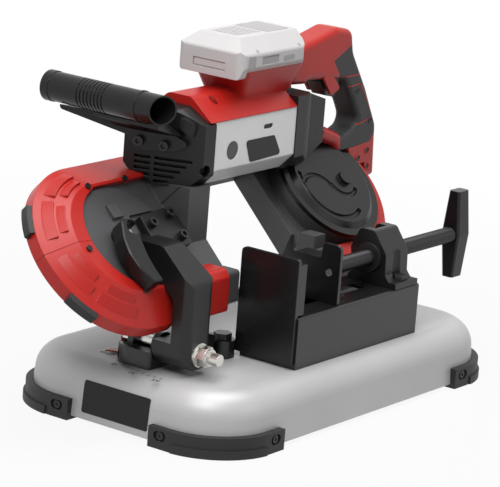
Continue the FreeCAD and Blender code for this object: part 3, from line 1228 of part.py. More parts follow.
def battery_pack():
    """A slim slide-on pack: sloped shoulders, ribbed top, rail channel and a latch recess in its lip."""
    w = BATTERY_WIDTH
    h = BATTERY_HEIGHT
    section = [(0, 5, 3), (5, 0, 2), (w - 5, 0, 2), (w, 5, 3), (w, h * 0.55, 5), (w - 17, h, 4), (17, h, 4),
               (0, h * 0.55, 5)]
    case = plate(section, facing_x(0), V(BATTERY_LENGTH, 0, 0))
    lip = [(4, -BATTERY_LIP, 4), (w - 4, -BATTERY_LIP, 4), (w - 0.5, 6, 2), (0.5, 6, 2)]
    case = join(case, plate(lip, facing_x(0), V(12, 0, 0)))
    plan = [(0, 0, 9), (BATTERY_LENGTH, 0, 9), (BATTERY_LENGTH, w, 9), (0, w, 9)]
    case = case.common(plate(plan, level(-20), V(0, 0, 80)))
    nose = [(0, -20, 0), (0, h * 0.62, 4), (16, h, 4), (BATTERY_LENGTH + 1, h, 0),
            (BATTERY_LENGTH + 1, -20, 0)]
    case = case.common(plate(nose, facing_y(-1), V(0, w + 2, 0)))
    channel = box(18 - CLEAR, BATTERY_LENGTH + 1, w / 2 - RAIL_WIDTH / 2 - CLEAR,
                  w / 2 + RAIL_WIDTH / 2 + CLEAR, -BATTERY_LIP - 1, RAIL_HEIGHT + CLEAR)
    case = case.cut(channel)
    for k in range(7):
        case = case.cut(box(22 + 6 * k, 24.5 + 6 * k, 24, w - 24, h - 1.6, h + 1))
    window = box(34, 62, -1, 0.9, 7, 15)
    return battery_place(case.cut(latch_form(CLEAR)).cut(window))


def latch_form(grow):
    """The press bar in the pack's front lip."""
    half = 20 + grow
    return box(0.8 - 4 * grow, 7 + LATCH_TRAVEL * (grow > 0), BATTERY_WIDTH / 2 - half,
               BATTERY_WIDTH / 2 + half, 1 - grow, 9 + grow)


def battery_latch():
    key = latch_form(0)
    return battery_place(key.makeFillet(1.5, [e for e in key.Edges if e.BoundBox.XMax < 1]))


def front_handle():
    """The side handle: a ribbed tube, its open near end cut to the nose's slant."""
    near = V(TUBE_X, TUBE_NEAR, TUBE_Z)
    spare = 2 * TUBE_RADIUS
    tube = rod(TUBE_RADIUS, near - Y_AXIS * spare, Y_AXIS, TUBE_LENGTH + spare)
    cap = rod(TUBE_RADIUS + 0.6, near + Y_AXIS * (TUBE_LENGTH - 9), Y_AXIS, 9)
    seam = rod(TUBE_RADIUS + 0.8, near + Y_AXIS * 24, Y_AXIS, 3)
    tube = join(tube, cap, seam)
    for k in range(8):
        start = near + Y_AXIS * (64 + 4.5 * k)
        tube = tube.cut(ring(TUBE_RADIUS + 1, TUBE_RADIUS - 1, start, Y_AXIS, 1.8))
    beyond = box(TUBE_X - spare, TUBE_X + spare, TUBE_NEAR - 2 * spare, TUBE_NEAR, TUBE_Z - spare,
                 TUBE_Z + spare)
    beyond.rotate(near, Z_AXIS, -NOSE_TURN)
    bore = rod(TUBE_RADIUS - TUBE_WALL, near - Y_AXIS * spare, Y_AXIS, 60 + spare)
    return largest(tube.cut(beyond).cut(bore))


def handle_bracket():
    """The side handle's cast foot: a plate screwed to the nose, a fin under the tube and a web between."""
    fin = [(-31, 268, 3), (-16, 260, 6), (24, 257, 6), (34, 272, 8), (104, TUBE_Z - 19, 4), (104, TUBE_Z, 0),
           (36, TUBE_Z, 0), (0, 287, 6)]
    corners = [(MOTOR_Y + along, z, r) for along, z, r in fin]
    body = at_nose(plate(corners, facing_x(NOSE_LEFT - BRACKET_PLATE), V(BRACKET_PLATE - RUN, 0, 0)))
    low = TUBE_Z - TUBE_RADIUS - 5
    by_tube = [V(TUBE_X, TUBE_NEAR + 4, low), V(TUBE_X, TUBE_NEAR + 86, low),
               V(TUBE_X, TUBE_NEAR + 86, low + 14), V(TUBE_X, TUBE_NEAR + 4, low + 14)]
    x = NOSE_LEFT - BRACKET_PLATE / 2
    by_nose = [V(x, MOTOR_Y - 24, 275), V(x, MOTOR_Y + 32, 275), V(x, MOTOR_Y + 32, 289),
               V(x, MOTOR_Y - 16, 281)]
    ends = [Part.makePolygon(by_tube + by_tube[:1]), at_nose(Part.makePolygon(by_nose + by_nose[:1]))]
    body = join(body, Part.makeLoft(ends, True, True))
    body = body.cut(rod(TUBE_RADIUS + RUN + 1.3, V(TUBE_X, -40, TUBE_Z), Y_AXIS, 300))
    for place in handle_bolt_places():
        body = body.cut(at_nose(rod(3 + RUN, place - X_AXIS * 20, X_AXIS, 30)))
    return largest(body)


def handle_form():
    """The rear handle's side view, as x, z corners: over the top, down the grip, in along the foot, back."""
    return [(HANDLE_ROOT, 304, 0), (HANDLE_ROOT, 340, 2), (100, 350, 30), (130, 357, 20), (158, 352, 12),
            (163, 328, 24), (192, 286, 40), (216, 244, 20), (220, 186, 4), (176, 190, 6), (149, 217, 8),
            (140, 229, 4), (108, 240, 3), (109, 255, 4), (126, 251, 4), (158, 238, 8), (184, 248, 10),
            (172, 268, 20), (150, 300, 10), (104, 304, 6), (86, 306, 6), (80, 302, 2)]


def handle_body(skin):
    """The handle's solid, drawn in by skin on every side."""
    half = GRIP_WIDTH / 2 - skin
    wire = outline(handle_form(), facing_y(MOTOR_Y - half))
    wire = wire.makeOffset2D(-skin) if skin > 0 else wire
    body = Part.Face(wire).extrude(V(0, 2 * half, 0))
    rims = [e for e in body.Edges if e.BoundBox.YLength < 0.01]
    return body.makeFillet(GRIP_ROUND - skin, rims)


def grip_zone(grow):
    """The stretch of the handle under the soft grip."""
    corners = [(146 - grow, 296, 0), (126 - grow, 322 + grow, 0), (152, 334 + grow, 0),
               (180, 347 + grow, 0), (250, 250, 0), (215, 239 - grow, 0), (204, 226 - grow, 0),
               (150 - grow, 222 - grow, 0)]
    return plate(corners, facing_y(MOTOR_Y - 40), V(0, 80, 0))


def trigger_pocket():
    half = TRIGGER_WIDTH / 2 + CLEAR
    return box(108, 151 + TRIGGER_TRAVEL, MOTOR_Y - half, MOTOR_Y + half, 276, 312 + CLEAR)


def handle_seats():
    """Everything that the handle's ends sit against, and the trigger's pocket."""
    depth = DRIVE_GUARD_FACE - FRAME_BACK + 40
    guard = leaned(rod(GUARD_RADIUS, V(DRIVE_X, WHEEL_V, DRIVE_GUARD_FACE - depth), Z_AXIS, depth))
    return Part.makeCompound([guard]).fuse([trigger_pocket(), motor_end_cap(), leaned(cover_disc(9)),
                                            main_frame_shape()])


def rear_handle():
    """The red D-handle from the battery's neck round to the drive guard, necked in under the soft grip."""
    body = join(handle_body(0).cut(grip_zone(0)), handle_body(GRIP_SKIN).common(grip_zone(1)))
    return largest(body.cut(handle_seats()))


def handle_grip():
    """The soft sleeve moulded round the handle."""
    return largest(handle_body(0).common(grip_zone(0)).cut(handle_body(GRIP_SKIN)).cut(handle_seats()))


def trigger():
    """The switch trigger, its face curved for the finger."""
    form = [(110, 312, 1), (113, 300, 4), (126, 284, 3), (140, 281, 3), (147, 294, 3), (150, 312, 1)]
    return plate(form, facing_y(MOTOR_Y - TRIGGER_WIDTH / 2), V(0, TRIGGER_WIDTH, 0))


SHAPES = {}


def main_frame_shape():
    if "main_frame" not in SHAPES:
        SHAPES["main_frame"] = main_frame()
    return SHAPES["main_frame"]


def parts():
    """Every node's name and shape."""
    yield "base_pan", base_pan()
    for make in (corner_feet, foot_screws, vise_bed, fixed_jaw, screw_bracket, vise_nut, vise_bolts,
                 moving_jaw, jaw_slide_block, vise_screw, t_handle, handle_pin, turntable, swivel_bolt,
                 mitre_pointer, pivot_bolt, pivot_nuts, lock_lever, swing_arm, socket_screws,
                 idler_guard_upper, idler_guard_lower, guard_screws, guard_bumpers, drive_guard,
                 idler_plate, gear_cover, idler_axle, idler_bearing, drive_bearing, drive_shaft, drive_gear,
                 counter_gear, motor_rotor, saw_blade, left_guide, right_guide, guide_cover, tension_lever,
                 motor_housing, motor_end_cap, nose_housing, top_housing, battery_pack, battery_latch,
                 front_handle, handle_bracket, rear_handle, handle_grip, trigger):
        yield make.__name__, make()
    yield "main_frame", main_frame_shape()
    yield "idler_wheel", wheel(IDLER_X, SHAFT_RADIUS + 6 + RUN)
    yield "drive_wheel", wheel(DRIVE_X, SHAFT_RADIUS)
    yield "idler_tyre", tyre(IDLER_X)
    yield "drive_tyre", tyre(DRIVE_X)
    yield "left_roller", guide_roller(sum(LEFT_GUIDE) / 2)
    yield "right_roller", guide_roller(sum(RIGHT_GUIDE) / 2)


def middle_of_all():
    """The middle of the whole object's plan: guard to foot along x, foot to the side handle's end along y."""
    left = IDLER_X - GUARD_RADIUS
    right = BASE_LENGTH / 2 + FOOT_PROUD + FOOT_BEAD
    near = -BASE_WIDTH / 2 - FOOT_PROUD - FOOT_BEAD
    far = TUBE_NEAR + TUBE_LENGTH
    return V((left + right) / 2, (near + far) / 2, 0)


def main():
    os.makedirs("parts", exist_ok=True)
    shift = -middle_of_all()
    for name, shape in parts():
        moved = shape.copy()
        moved.translate(shift)
        moved.exportStep("parts/" + name + ".step")


main()
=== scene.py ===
import json
import math

import bpy
from mathutils import Matrix, Vector


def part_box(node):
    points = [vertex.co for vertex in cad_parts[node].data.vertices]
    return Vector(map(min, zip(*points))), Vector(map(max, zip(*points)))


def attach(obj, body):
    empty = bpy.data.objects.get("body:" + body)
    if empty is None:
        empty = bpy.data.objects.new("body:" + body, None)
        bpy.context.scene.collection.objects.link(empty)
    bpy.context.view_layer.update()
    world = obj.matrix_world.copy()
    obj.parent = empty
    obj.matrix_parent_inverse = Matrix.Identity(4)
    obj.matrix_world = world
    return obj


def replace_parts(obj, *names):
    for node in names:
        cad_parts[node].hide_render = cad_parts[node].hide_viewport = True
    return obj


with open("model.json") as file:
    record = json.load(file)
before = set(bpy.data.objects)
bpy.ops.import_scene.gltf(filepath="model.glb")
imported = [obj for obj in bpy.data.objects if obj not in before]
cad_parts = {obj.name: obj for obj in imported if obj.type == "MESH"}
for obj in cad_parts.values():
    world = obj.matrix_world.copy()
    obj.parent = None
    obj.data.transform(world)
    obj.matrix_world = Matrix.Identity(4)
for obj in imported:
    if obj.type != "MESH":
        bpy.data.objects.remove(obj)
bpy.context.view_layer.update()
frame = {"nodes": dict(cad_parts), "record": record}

# Metres. X runs along the blade, Y away from the operator, Z up.
MM = 0.001

# Camera
CAMERA_PLACE = Vector((-2.37085, -1.7156, 0.9012))
CAMERA_BACK = Vector((-0.786, -0.567, 0.247))
CAMERA_UP = Vector((0.154, 0.207, 0.966))
CAMERA_LENS = 215.17

# Colours, as linear light
RED = (0.46, 0.014, 0.009)
SILVER = (0.84, 0.84, 0.84)
PAN_SILVER = (0.54, 0.54, 0.545)
DARK_GREY = (0.060, 0.060, 0.063)
BLACK = (0.007, 0.007, 0.0075)
PALE = (0.60, 0.585, 0.585)
STEEL = (0.55, 0.55, 0.56)
ZINC = (0.62, 0.61, 0.58)
BRONZE = (0.03, 0.028, 0.025)
# The next black also lies in the handle's screw wells as painted shade.
PLATE_AND_SHADE_BLACK = (0.004, 0.004, 0.005)
# The battery's grey also lies between its ridges as painted shade.
BATTERY_GREY = (0.40, 0.39, 0.39)
INK = (0.03, 0.03, 0.032)
FLOOR = (0.55, 0.55, 0.55)

# Pan wall and its bare plate
PAN_DRAFT = math.radians(5)
PAN_ROUND = 27 * MM
PLATE_LIFT = 0.5 * MM
PAN_PLATE = (-48.5 * MM, 33.5 * MM, 11 * MM, 43 * MM)

# Mitre scale on the pan
SCALE_MARKS = ((0, 135.0), (15, 154.6), (30, 170.5), (45, 185.0))
SCALE_LABEL_REACH = 117 * MM
SCALE_TICK_REACH = 106 * MM
SCALE_TICK_STEP = 4.0
SCALE_TICK_SPAN = (145.0, 186.0)

# Drawing datum: the motor housing's low near corner, in the drawing's millimetres
DATUM_X = -105.0
DATUM_Y = -0.5

# Lines that look for a surface start in front of the head or above it
NEAR_START = -80.0
HIGH_START = 400.0
INWARD = Vector((0, 1, 0))
DOWNWARD = Vector((0, 0, -1))

# Sides of a small round piece
ROUND_SIDES = 28

# Motor housing: bare plate, round badge and slot, as x, z places
MOTOR_PLATE = ((-54, 265), (-6, 265), (7, 244), (-45, 242))
BADGE = (-75, 258, 9.3)
MOTOR_SLOT = ((-24.9, 273.1), (-9.1, 273.1), (-9.1, 277.9), (-24.9, 277.9))

# Handle: moulded screw holes and the red lines on the grip, as x, z places
FOOT_HOLES = ((185, 210), (203, 199), (201, 217))
FOOT_BOSS = (112.5, 247)
GRIP_HOLES = ((174, 285), (202, 250))
GRIP_LINES = (
    (1.6, ((147, 302.5), (176, 302.5))),
    (1.4, ((149, 290), (178, 292.5), (189, 279), (202, 259))),
    (1.4, ((176, 246.5), (202, 252.5))),
)
FOOT_HOLE_RADIUS = 3.4
GRIP_HOLE_RADIUS = 2.4
BOSS_HOLE_RADIUS = 3.0
TRIGGER_CHEEK = ((108, 308), (121, 312), (142, 291), (126, 285.5))
CHEEK_SIDES = (("cheek_near", 24.8), ("cheek_far", 53.2))
CHEEK_THICK = 3.0

# Screws in the moulded pockets: the nose's as x, z and the top shell's as x, y
NOSE_SCREW = (-117, 242.3)
NOSE_SCREW_RADIUS = 3.6
TOP_SCREW = (-85, 20)
TOP_SCREW_RADIUS = 3.4

# Battery: its lower near left corner in the drawing, then places from that corner
BATTERY_CORNER = (-70.0, -0.5, 333.0)
BATTERY_PANELS = (
    ("corner", ((11, 4), (23, 4), (23, 17), (11, 17)), 1.5, 0.0),
    ("gauge", ((70, 8), (88, 8), (88, 13), (70, 13)), 2.0, 0.0),
    ("label", ((34.4, 7.4), (61.6, 7.4), (61.6, 14.6), (34.4, 14.6)), 1.0, 0.9),
)
BATTERY_SCREWS = ((28, 21), (98, 21))
BATTERY_TOP = ((66, 20), (104, 20), (104, 62), (66, 62))
BATTERY_TOP_Z = 34.0
# Painted shade between the ridges: where its strips start, their step, count and the floor they lie on.
RIDGE_START = 22.0
RIDGE_STEP = 6.0
RIDGE_COUNT = 7
RIDGE_FLOOR = 32.4

# Vise screw thread
THREAD_PITCH = 4 * MM
THREAD_DEPTH = 0.9 * MM
THREAD_SIDES = 28

# Floor: half its width, and the share of plain white near the object and far from it
FLOOR_HALF = 30.0
GLOW_REACH = (0.35, 1.1)
GLOW_SHARE = (0.91, 1.0)

# World: its strength as light, and as the camera and reflections see it
WORLD_LIGHT = 0.10
WORLD_SEEN = 1.0

# Lamps: name, place, aim, size and power
LAMPS = (
    ("key", (-1.2, -0.4, 1.5), (0, 0, 0.2), (1.0, 0.8), 17),
    ("fill", (0.6, -2.2, 1.1), (0, 0, 0.15), (1.4, 0.8), 3),
    ("top", (0.0, -0.1, 1.9), (0, 0, 0.1), (1.6, 1.2), 29),
)


def shader_tree(name):
    """A new material with its node tree, principled shader and object coordinates."""
    material = bpy.data.materials.new(name)
    material.use_nodes = True
    tree = material.node_tree
    principled = tree.nodes["Principled BSDF"]
    coordinates = tree.nodes.new("ShaderNodeTexCoord")
    return material, tree, principled, coordinates.outputs["Object"]


def noise(tree, place, scale, detail=4.0, stretch=None):
    """A noise texture's value, optionally stretched along an axis."""
    if stretch is not None:
        mapping = tree.nodes.new("ShaderNodeMapping")
        mapping.inputs["Scale"].default_value = stretch
        tree.links.new(place, mapping.inputs["Vector"])
        place = mapping.outputs["Vector"]
    texture = tree.nodes.new("ShaderNodeTexNoise")
    texture.inputs["Scale"].default_value = scale
    texture.inputs["Detail"].default_value = detail
    tree.links.new(place, texture.inputs["Vector"])
    return texture.outputs["Fac"]


def spread(tree, value, low, high):
    """A 0 to 1 value carried to the range low to high."""
    remap = tree.nodes.new("ShaderNodeMapRange")
    remap.inputs["From Min"].default_value = 0.3
    remap.inputs["From Max"].default_value = 0.7
    remap.inputs["To Min"].default_value = low
    remap.inputs["To Max"].default_value = high
    tree.links.new(value, remap.inputs["Value"])
    return remap.outputs["Result"]


def tint(tree, value, colour, amount):
    """A colour that varies by amount either side with a 0 to 1 value."""
    ramp = tree.nodes.new("ShaderNodeValToRGB")
    ramp.color_ramp.elements[0].position = 0.3
    ramp.color_ramp.elements[1].position = 0.7
    ramp.color_ramp.elements[0].color = [c * (1 - amount) for c in colour] + [1]
    ramp.color_ramp.elements[1].color = [min(1, c * (1 + amount)) for c in colour] + [1]
    tree.links.new(value, ramp.inputs["Fac"])
    return ramp.outputs["Color"]


def relief(tree, principled, value, height, edge):
    """Bumps from a value, over edges softened by a small radius."""
    soft = tree.nodes.new("ShaderNodeBevel")
    soft.samples = 4
    soft.inputs["Radius"].default_value = edge
    bump = tree.nodes.new("ShaderNodeBump")
    bump.inputs["Distance"].default_value = height
    tree.links.new(value, bump.inputs["Height"])
    tree.links.new(soft.outputs["Normal"], bump.inputs["Normal"])
    tree.links.new(bump.outputs["Normal"], principled.inputs["Normal"])


def finish_of(name, colour, rough, metal=0.0, grain=900.0, height=0.00003, edge=0.0007, amount=0.06, coat=0.0,
              stretch=None, shine=0.5):
    """A moulded, painted or metal surface: slight clouding, uneven gloss and fine grain."""
    material, tree, principled, place = shader_tree(name)
    cloud = noise(tree, place, 14.0)
    fine = noise(tree, place, grain, 3.0, stretch)
    tree.links.new(tint(tree, cloud, colour, amount), principled.inputs["Base Color"])
    tree.links.new(spread(tree, fine, rough * 0.88, min(1.0, rough * 1.12)), principled.inputs["Roughness"])
    relief(tree, principled, fine, height, edge)
    principled.inputs["Metallic"].default_value = metal
    principled.inputs["Specular IOR Level"].default_value = shine
    principled.inputs["Coat Weight"].default_value = coat
    principled.inputs["Coat Roughness"].default_value = 0.25
    return material


def make_materials():
    """One material for each of the record's slots."""
    return {
        "pan_silver": finish_of("pan_silver", PAN_SILVER, 0.42, 0.15, 1500, 0.00002, 0.0008, 0.03),
        "foot_rubber": finish_of("foot_rubber", BLACK, 0.6, 0, 1200, 0.00004),
        "vise_black": finish_of("vise_black", BLACK, 0.30, 0, 1100, 0.00003, 0.0008),
        "cast_black": finish_of("cast_black", BLACK, 0.38, 0, 700, 0.00009, 0.0012, shine=0.4),
        "black_steel": finish_of("black_steel", (0.03, 0.03, 0.032), 0.32, 0.6, 1600, 0.00002, 0.0005),
        "zinc_steel": finish_of("zinc_steel", ZINC, 0.24, 1.0, 1800, 0.00001, 0.0004),
        "bearing_steel": finish_of("bearing_steel", STEEL, 0.3, 1.0, 1800, 0.00001, 0.0003),
        "blade_steel": finish_of("blade_steel", STEEL, 0.28, 1.0, 600, 0.00001, 0.0001, 0.06, 0, (0.1, 3, 3)),
        "bronze": finish_of("bronze", BRONZE, 0.4, 0.5),
        "handle_black": finish_of("handle_black", BLACK, 0.30, 0, 1300, 0.00004, 0.0010, shine=0.3),
        "red_plastic": finish_of("red_plastic", RED, 0.36, 0, 1500, 0.00002, 0.0012, 0.05, shine=0.4),
        "pointer_red": finish_of("pointer_red", RED, 0.35),
        "soft_grip": finish_of("soft_grip", (0.022, 0.022, 0.024), 0.62, 0, 1100, 0.00008, 0.0015),
        "trigger_black": finish_of("trigger_black", BLACK, 0.4),
        "silver_plastic": finish_of("silver_plastic", SILVER, 0.36, 0.1, 1600, 0.00002, 0.0012, 0.03),
        "frame_grey": finish_of("frame_grey", DARK_GREY, 0.45, 0, 800, 0.00008, 0.0012),
        "tyre_rubber": finish_of("tyre_rubber", BLACK, 0.7),
        "battery_pale": finish_of("battery_pale", PALE, 0.5, 0, 1300, 0.00003, 0.0010, 0.03),
    }


def dress_nodes(materials):
    """Each CAD node takes the material of its slot."""
    for part in frame["record"]["subparts"]:
        mesh = frame["nodes"][part["node"]].data
        mesh.materials.clear()
        mesh.materials.append(materials[part["material_slot"]])


def piece(name, points, faces, material, body, smooth=False):
    """A mesh that rides on a body."""
    mesh = bpy.data.meshes.new(name)
    mesh.from_pydata([tuple(p) for p in points], [], faces)
    mesh.update()
    for polygon in mesh.polygons:
        polygon.use_smooth = smooth
    mesh.materials.append(material)
    made = bpy.data.objects.new(name, mesh)
    bpy.context.scene.collection.objects.link(made)
    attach(made, body)
    return made


def grid_faces(rows, columns, closed=False):
    """Quads over rows of points, closed round if asked."""
    wrap = columns if closed else columns - 1
    faces = []
    for r in range(rows - 1):
        for c in range(wrap):
            after = (c + 1) % columns
            first, second = r * columns, (r + 1) * columns
            faces.append((first + c, first + after, second + after, second + c))
    return faces


def strip_ends(count):
    """The two end faces of a closed strip with four points in a row."""
    return [(0, 1, 2, 3), tuple(count - k for k in (1, 2, 3, 4))]


def pan_wall(z):
    """Place and outward direction of the pan's left wall at height z: a drafted flat, then a rounded edge."""
    low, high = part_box("base_pan")
    middle_z = high.z - PAN_ROUND
    touch_z = middle_z + PAN_ROUND * math.sin(PAN_DRAFT)
    touch_x = low.x + (touch_z - low.z) * math.tan(PAN_DRAFT)
    if z <= touch_z:
        x = low.x + (z - low.z) * math.tan(PAN_DRAFT)
        return x, Vector((-math.cos(PAN_DRAFT), 0, math.sin(PAN_DRAFT)))
    lift = math.asin((z - middle_z) / PAN_ROUND)
    x = touch_x + PAN_ROUND * (math.cos(PAN_DRAFT) - math.cos(lift))
    return x, Vector((-math.cos(lift), 0, math.sin(lift)))


def pan_plate(material):
    """The bare dark plate stuck on the pan's left wall, bent with it."""
    y0, y1, z0, z1 = PAN_PLATE
    corner = 2 * MM
    points = []
    rows = 25
    for r in range(rows):
        share = r / (rows - 1)
        z = z0 + (z1 - z0) * (share - math.sin(2 * math.pi * share) / (2 * math.pi))
        near = min(z - z0, z1 - z, corner)
        inset = corner - math.sqrt(max(0.0, corner ** 2 - (corner - near) ** 2))
        x, out = pan_wall(z)
        for y, lift in ((y0 + inset, 0), (y0 + inset, PLATE_LIFT), (y1 - inset, PLATE_LIFT), (y1 - inset, 0)):
            points.append(Vector((x, y, z)) + out * lift)
    faces = grid_faces(rows, 4, True) + strip_ends(len(points))
    return piece("pan_plate", points, faces, material, "stand")


def scale_centre():
    low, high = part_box("swivel_bolt")
    return Vector(((low.x + high.x) / 2, (low.y + high.y) / 2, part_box("base_pan")[1].z))


def on_scale(reach, degrees, lift=0.0):
    """A point on the pan's top at an angle round the swivel."""
    angle = math.radians(degrees)
    return scale_centre() + Vector((reach * math.cos(angle), reach * math.sin(angle), lift))


def scale_number(number, degrees, material):
    """A plain number of the mitre scale, its foot towards the swivel."""
    curve = bpy.data.curves.new(f"scale_{number}", "FONT")
    curve.body = str(number)
    curve.size = 9 * MM
    curve.align_x = "CENTER"
    curve.align_y = "CENTER"
    curve.extrude = 0.05 * MM
    made = bpy.data.objects.new(f"scale_{number}", curve)
    bpy.context.scene.collection.objects.link(made)
    made.location = on_scale(SCALE_LABEL_REACH, degrees, 0.1 * MM)
    made.rotation_euler = (0, 0, math.radians(degrees - 90))
    bpy.context.view_layer.update()
    mesh = bpy.data.meshes.new_from_object(made)
    mesh.transform(made.matrix_world)
    bpy.data.objects.remove(made)
    mesh.materials.clear()
    mesh.materials.append(material)
    solid = bpy.data.objects.new(f"scale_number_{number}", mesh)
    bpy.context.scene.collection.objects.link(solid)
    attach(solid, "stand")


def scale_ticks(material):
    """Short printed strokes round the scale."""
    half = 0.18
    inner = SCALE_TICK_REACH
    outer = inner + 5 * MM
    degrees = SCALE_TICK_SPAN[0]
    while degrees <= SCALE_TICK_SPAN[1]:
        before, after = degrees - half, degrees + half
        ends = ((inner, before), (outer, before), (outer, after), (inner, after))
        top = [on_scale(reach, angle, 0.12 * MM) for reach, angle in ends]
        slab(f"scale_tick_{degrees:.0f}", top, Vector((0, 0, -0.12 * MM)), material, "stand")
        degrees += SCALE_TICK_STEP


def drawn(x, y, z):
    """A place of the drawing, in millimetres, carried into the frame."""
    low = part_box("motor_housing")[0]
    return Vector((low.x + (x - DATUM_X) * MM, low.y + (y - DATUM_Y) * MM, z * MM))


def struck(node, start, direction):
    """Where a straight line first meets a CAD node, and the surface's direction there."""
    hit, spot, normal = frame["nodes"][node].ray_cast(start, direction)[:3]
    return (spot, normal) if hit else None


def rounded(corners, radius):
    """A flat outline with its corners rounded."""
    points = []
    count = len(corners)
    for k in range(count):
        corner = Vector(corners[k])
        before = (Vector(corners[k - 1]) - corner).normalized()
        after = (Vector(corners[(k + 1) % count]) - corner).normalized()
        half = before.angle(after) / 2
        middle = corner + (before + after).normalized() * radius / math.sin(half)
        start = (corner + before * radius / math.tan(half) - middle).normalized()
        stop = (corner + after * radius / math.tan(half) - middle).normalized()
        for step in range(7):
            points.append(middle + start.slerp(stop, step / 6) * radius)
    return points


def slab(name, front, lift, material, body):
    """A thin plate: its front outline, and its back lifted away from it."""
    count = len(front)
    back = [p + lift for p in front]
    faces = [tuple(range(count)), tuple(reversed(range(count, 2 * count)))]
    for k in range(count):
        after = (k + 1) % count
        faces.append((k, count + k, count + after, after))
    return piece(name, front + back, faces, material, body)


def near_slab(name, corners, radius, y, thick, material):
    """A plate on the near side of the head, from x, z corners."""
    front = [drawn(p.x, y, p.y) for p in rounded(corners, radius)]
    return slab(name, front, Vector((0, thick * MM, 0)), material, "head")


def circle(middle, out, radius):
    """Points round a circle that faces out."""
    aside = out.orthogonal().normalized()
    across = out.cross(aside).normalized()
    turns = [2 * math.pi * k / ROUND_SIDES for k in range(ROUND_SIDES)]
    return [middle + (aside * math.cos(a) + across * math.sin(a)) * radius for a in turns]


def turned(name, middle, out, profile, material, body):
    """A round piece from radius, height steps up its axis, closed at the last step."""
    points = []
    for radius, height in profile:
        points += circle(middle + out * height * MM, out, radius * MM)
    faces = grid_faces(len(profile), ROUND_SIDES, True)
    faces.append(tuple(range(len(points) - ROUND_SIDES, len(points))))
    faces.append(tuple(reversed(range(ROUND_SIDES))))
    return piece(name, points, faces, material, body)


def screw_head(name, middle, out, radius, materials):
    """A small round head with a socket in it."""
    profile = ((radius, -0.5), (radius, 0.9), (radius - 0.6, 1.5), (radius * 0.48, 1.5), (radius * 0.44, 0.5))
    return turned(name, middle, out, profile, materials["black_steel"], "head")


def sunk_screw(name, node, place, radius, rim, dark, materials):
    """A screw down a moulded hole at an x, z place: a raised rim, a black disc of painted shade for the dark
    well, and the screw's head in it.
    """
    spot, normal = struck(node, drawn(place[0], NEAR_START, place[1]), INWARD)
    lip = ((radius + 1.3, -0.3), (radius + 1.0, 0.7), (radius, 0.7), (radius - 0.1, 0.1))
    turned(name + "_rim", spot, normal, lip, rim, "head")
    # A flat black disc over the hole: painted shade for the well's depth.
    turned(name, spot, normal, ((radius - 0.2, 0.1), (radius - 0.3, 0.15)), dark, "head")
    head = ((radius * 0.6, 0.1), (radius * 0.55, 0.4), (radius * 0.28, 0.4), (radius * 0.24, 0.2))
    turned(name + "_head", spot, normal, head, materials["black_steel"], "head")


def housing_marks(materials, plate_and_shade_black):
    """The motor housing's bare plate, round badge and slot."""
    near_slab("motor_plate", MOTOR_PLATE, 3, DATUM_Y - 0.5, 0.5, plate_and_shade_black)
    x, z, radius = BADGE
    turned("motor_badge", drawn(x, DATUM_Y + 0.8, z), Vector((0, -1, 0)), ((radius, 0), (radius, 0.3)),
           materials["frame_grey"], "head")
    near_slab("motor_slot", MOTOR_SLOT, 2.3, DATUM_Y + 1.3, 0.2, plate_and_shade_black)


def laid_line(name, corners, width, material):
    """A narrow moulded line laid on the near side of the grip along x, z corners."""
    for part, (first, last) in enumerate(zip(corners, corners[1:])):
        first, last = Vector(first), Vector(last)
        along = (last - first).normalized()
        aside = Vector((-along.y, along.x)) * width / 2
        steps = max(2, round((last - first).length / 1.5))
        points = []
        for k in range(steps + 1):
            middle = first.lerp(last, k / steps)
            starts = [drawn(p.x, NEAR_START, p.y) for p in (middle - aside, middle + aside)]
            pair = [struck("handle_grip", start, INWARD) for start in starts]
            if None not in pair:
                (near, near_out), (far, far_out) = pair
                points += [near - near_out * 0.1 * MM, near + near_out * 0.2 * MM]
                points += [far + far_out * 0.2 * MM, far - far_out * 0.1 * MM]
        faces = grid_faces(len(points) // 4, 4, True) + strip_ends(len(points))
        piece(f"{name}_{part}", points, faces, material, "head")


def handle_marks(materials, dark):
    """The handle's sunk screws with painted shade in their wells, the red lines on the grip and the cheeks
    beside the trigger.
    """
    red = materials["red_plastic"]
    grip = materials["soft_grip"]
    # dark is the black laid in the screw wells as painted shade.
    for k, place in enumerate(FOOT_HOLES):
        sunk_screw(f"foot_hole_{k}", "rear_handle", place, FOOT_HOLE_RADIUS, red, dark, materials)
    for k, place in enumerate(GRIP_HOLES):
        sunk_screw(f"grip_hole_{k}", "handle_grip", place, GRIP_HOLE_RADIUS, grip, dark, materials)
    sunk_screw("boss_hole", "rear_handle", FOOT_BOSS, BOSS_HOLE_RADIUS, red, dark, materials)
    for k, (width, corners) in enumerate(GRIP_LINES):
        laid_line(f"grip_line_{k}", corners, width, red)
    for name, y in CHEEK_SIDES:
        near_slab(name, TRIGGER_CHEEK, 3, y, CHEEK_THICK, red)


def on_battery(x, y, z):
    """A place from the battery's corner, in millimetres, carried into the frame."""
    return drawn(BATTERY_CORNER[0] + x, BATTERY_CORNER[1] + y, BATTERY_CORNER[2] + z)


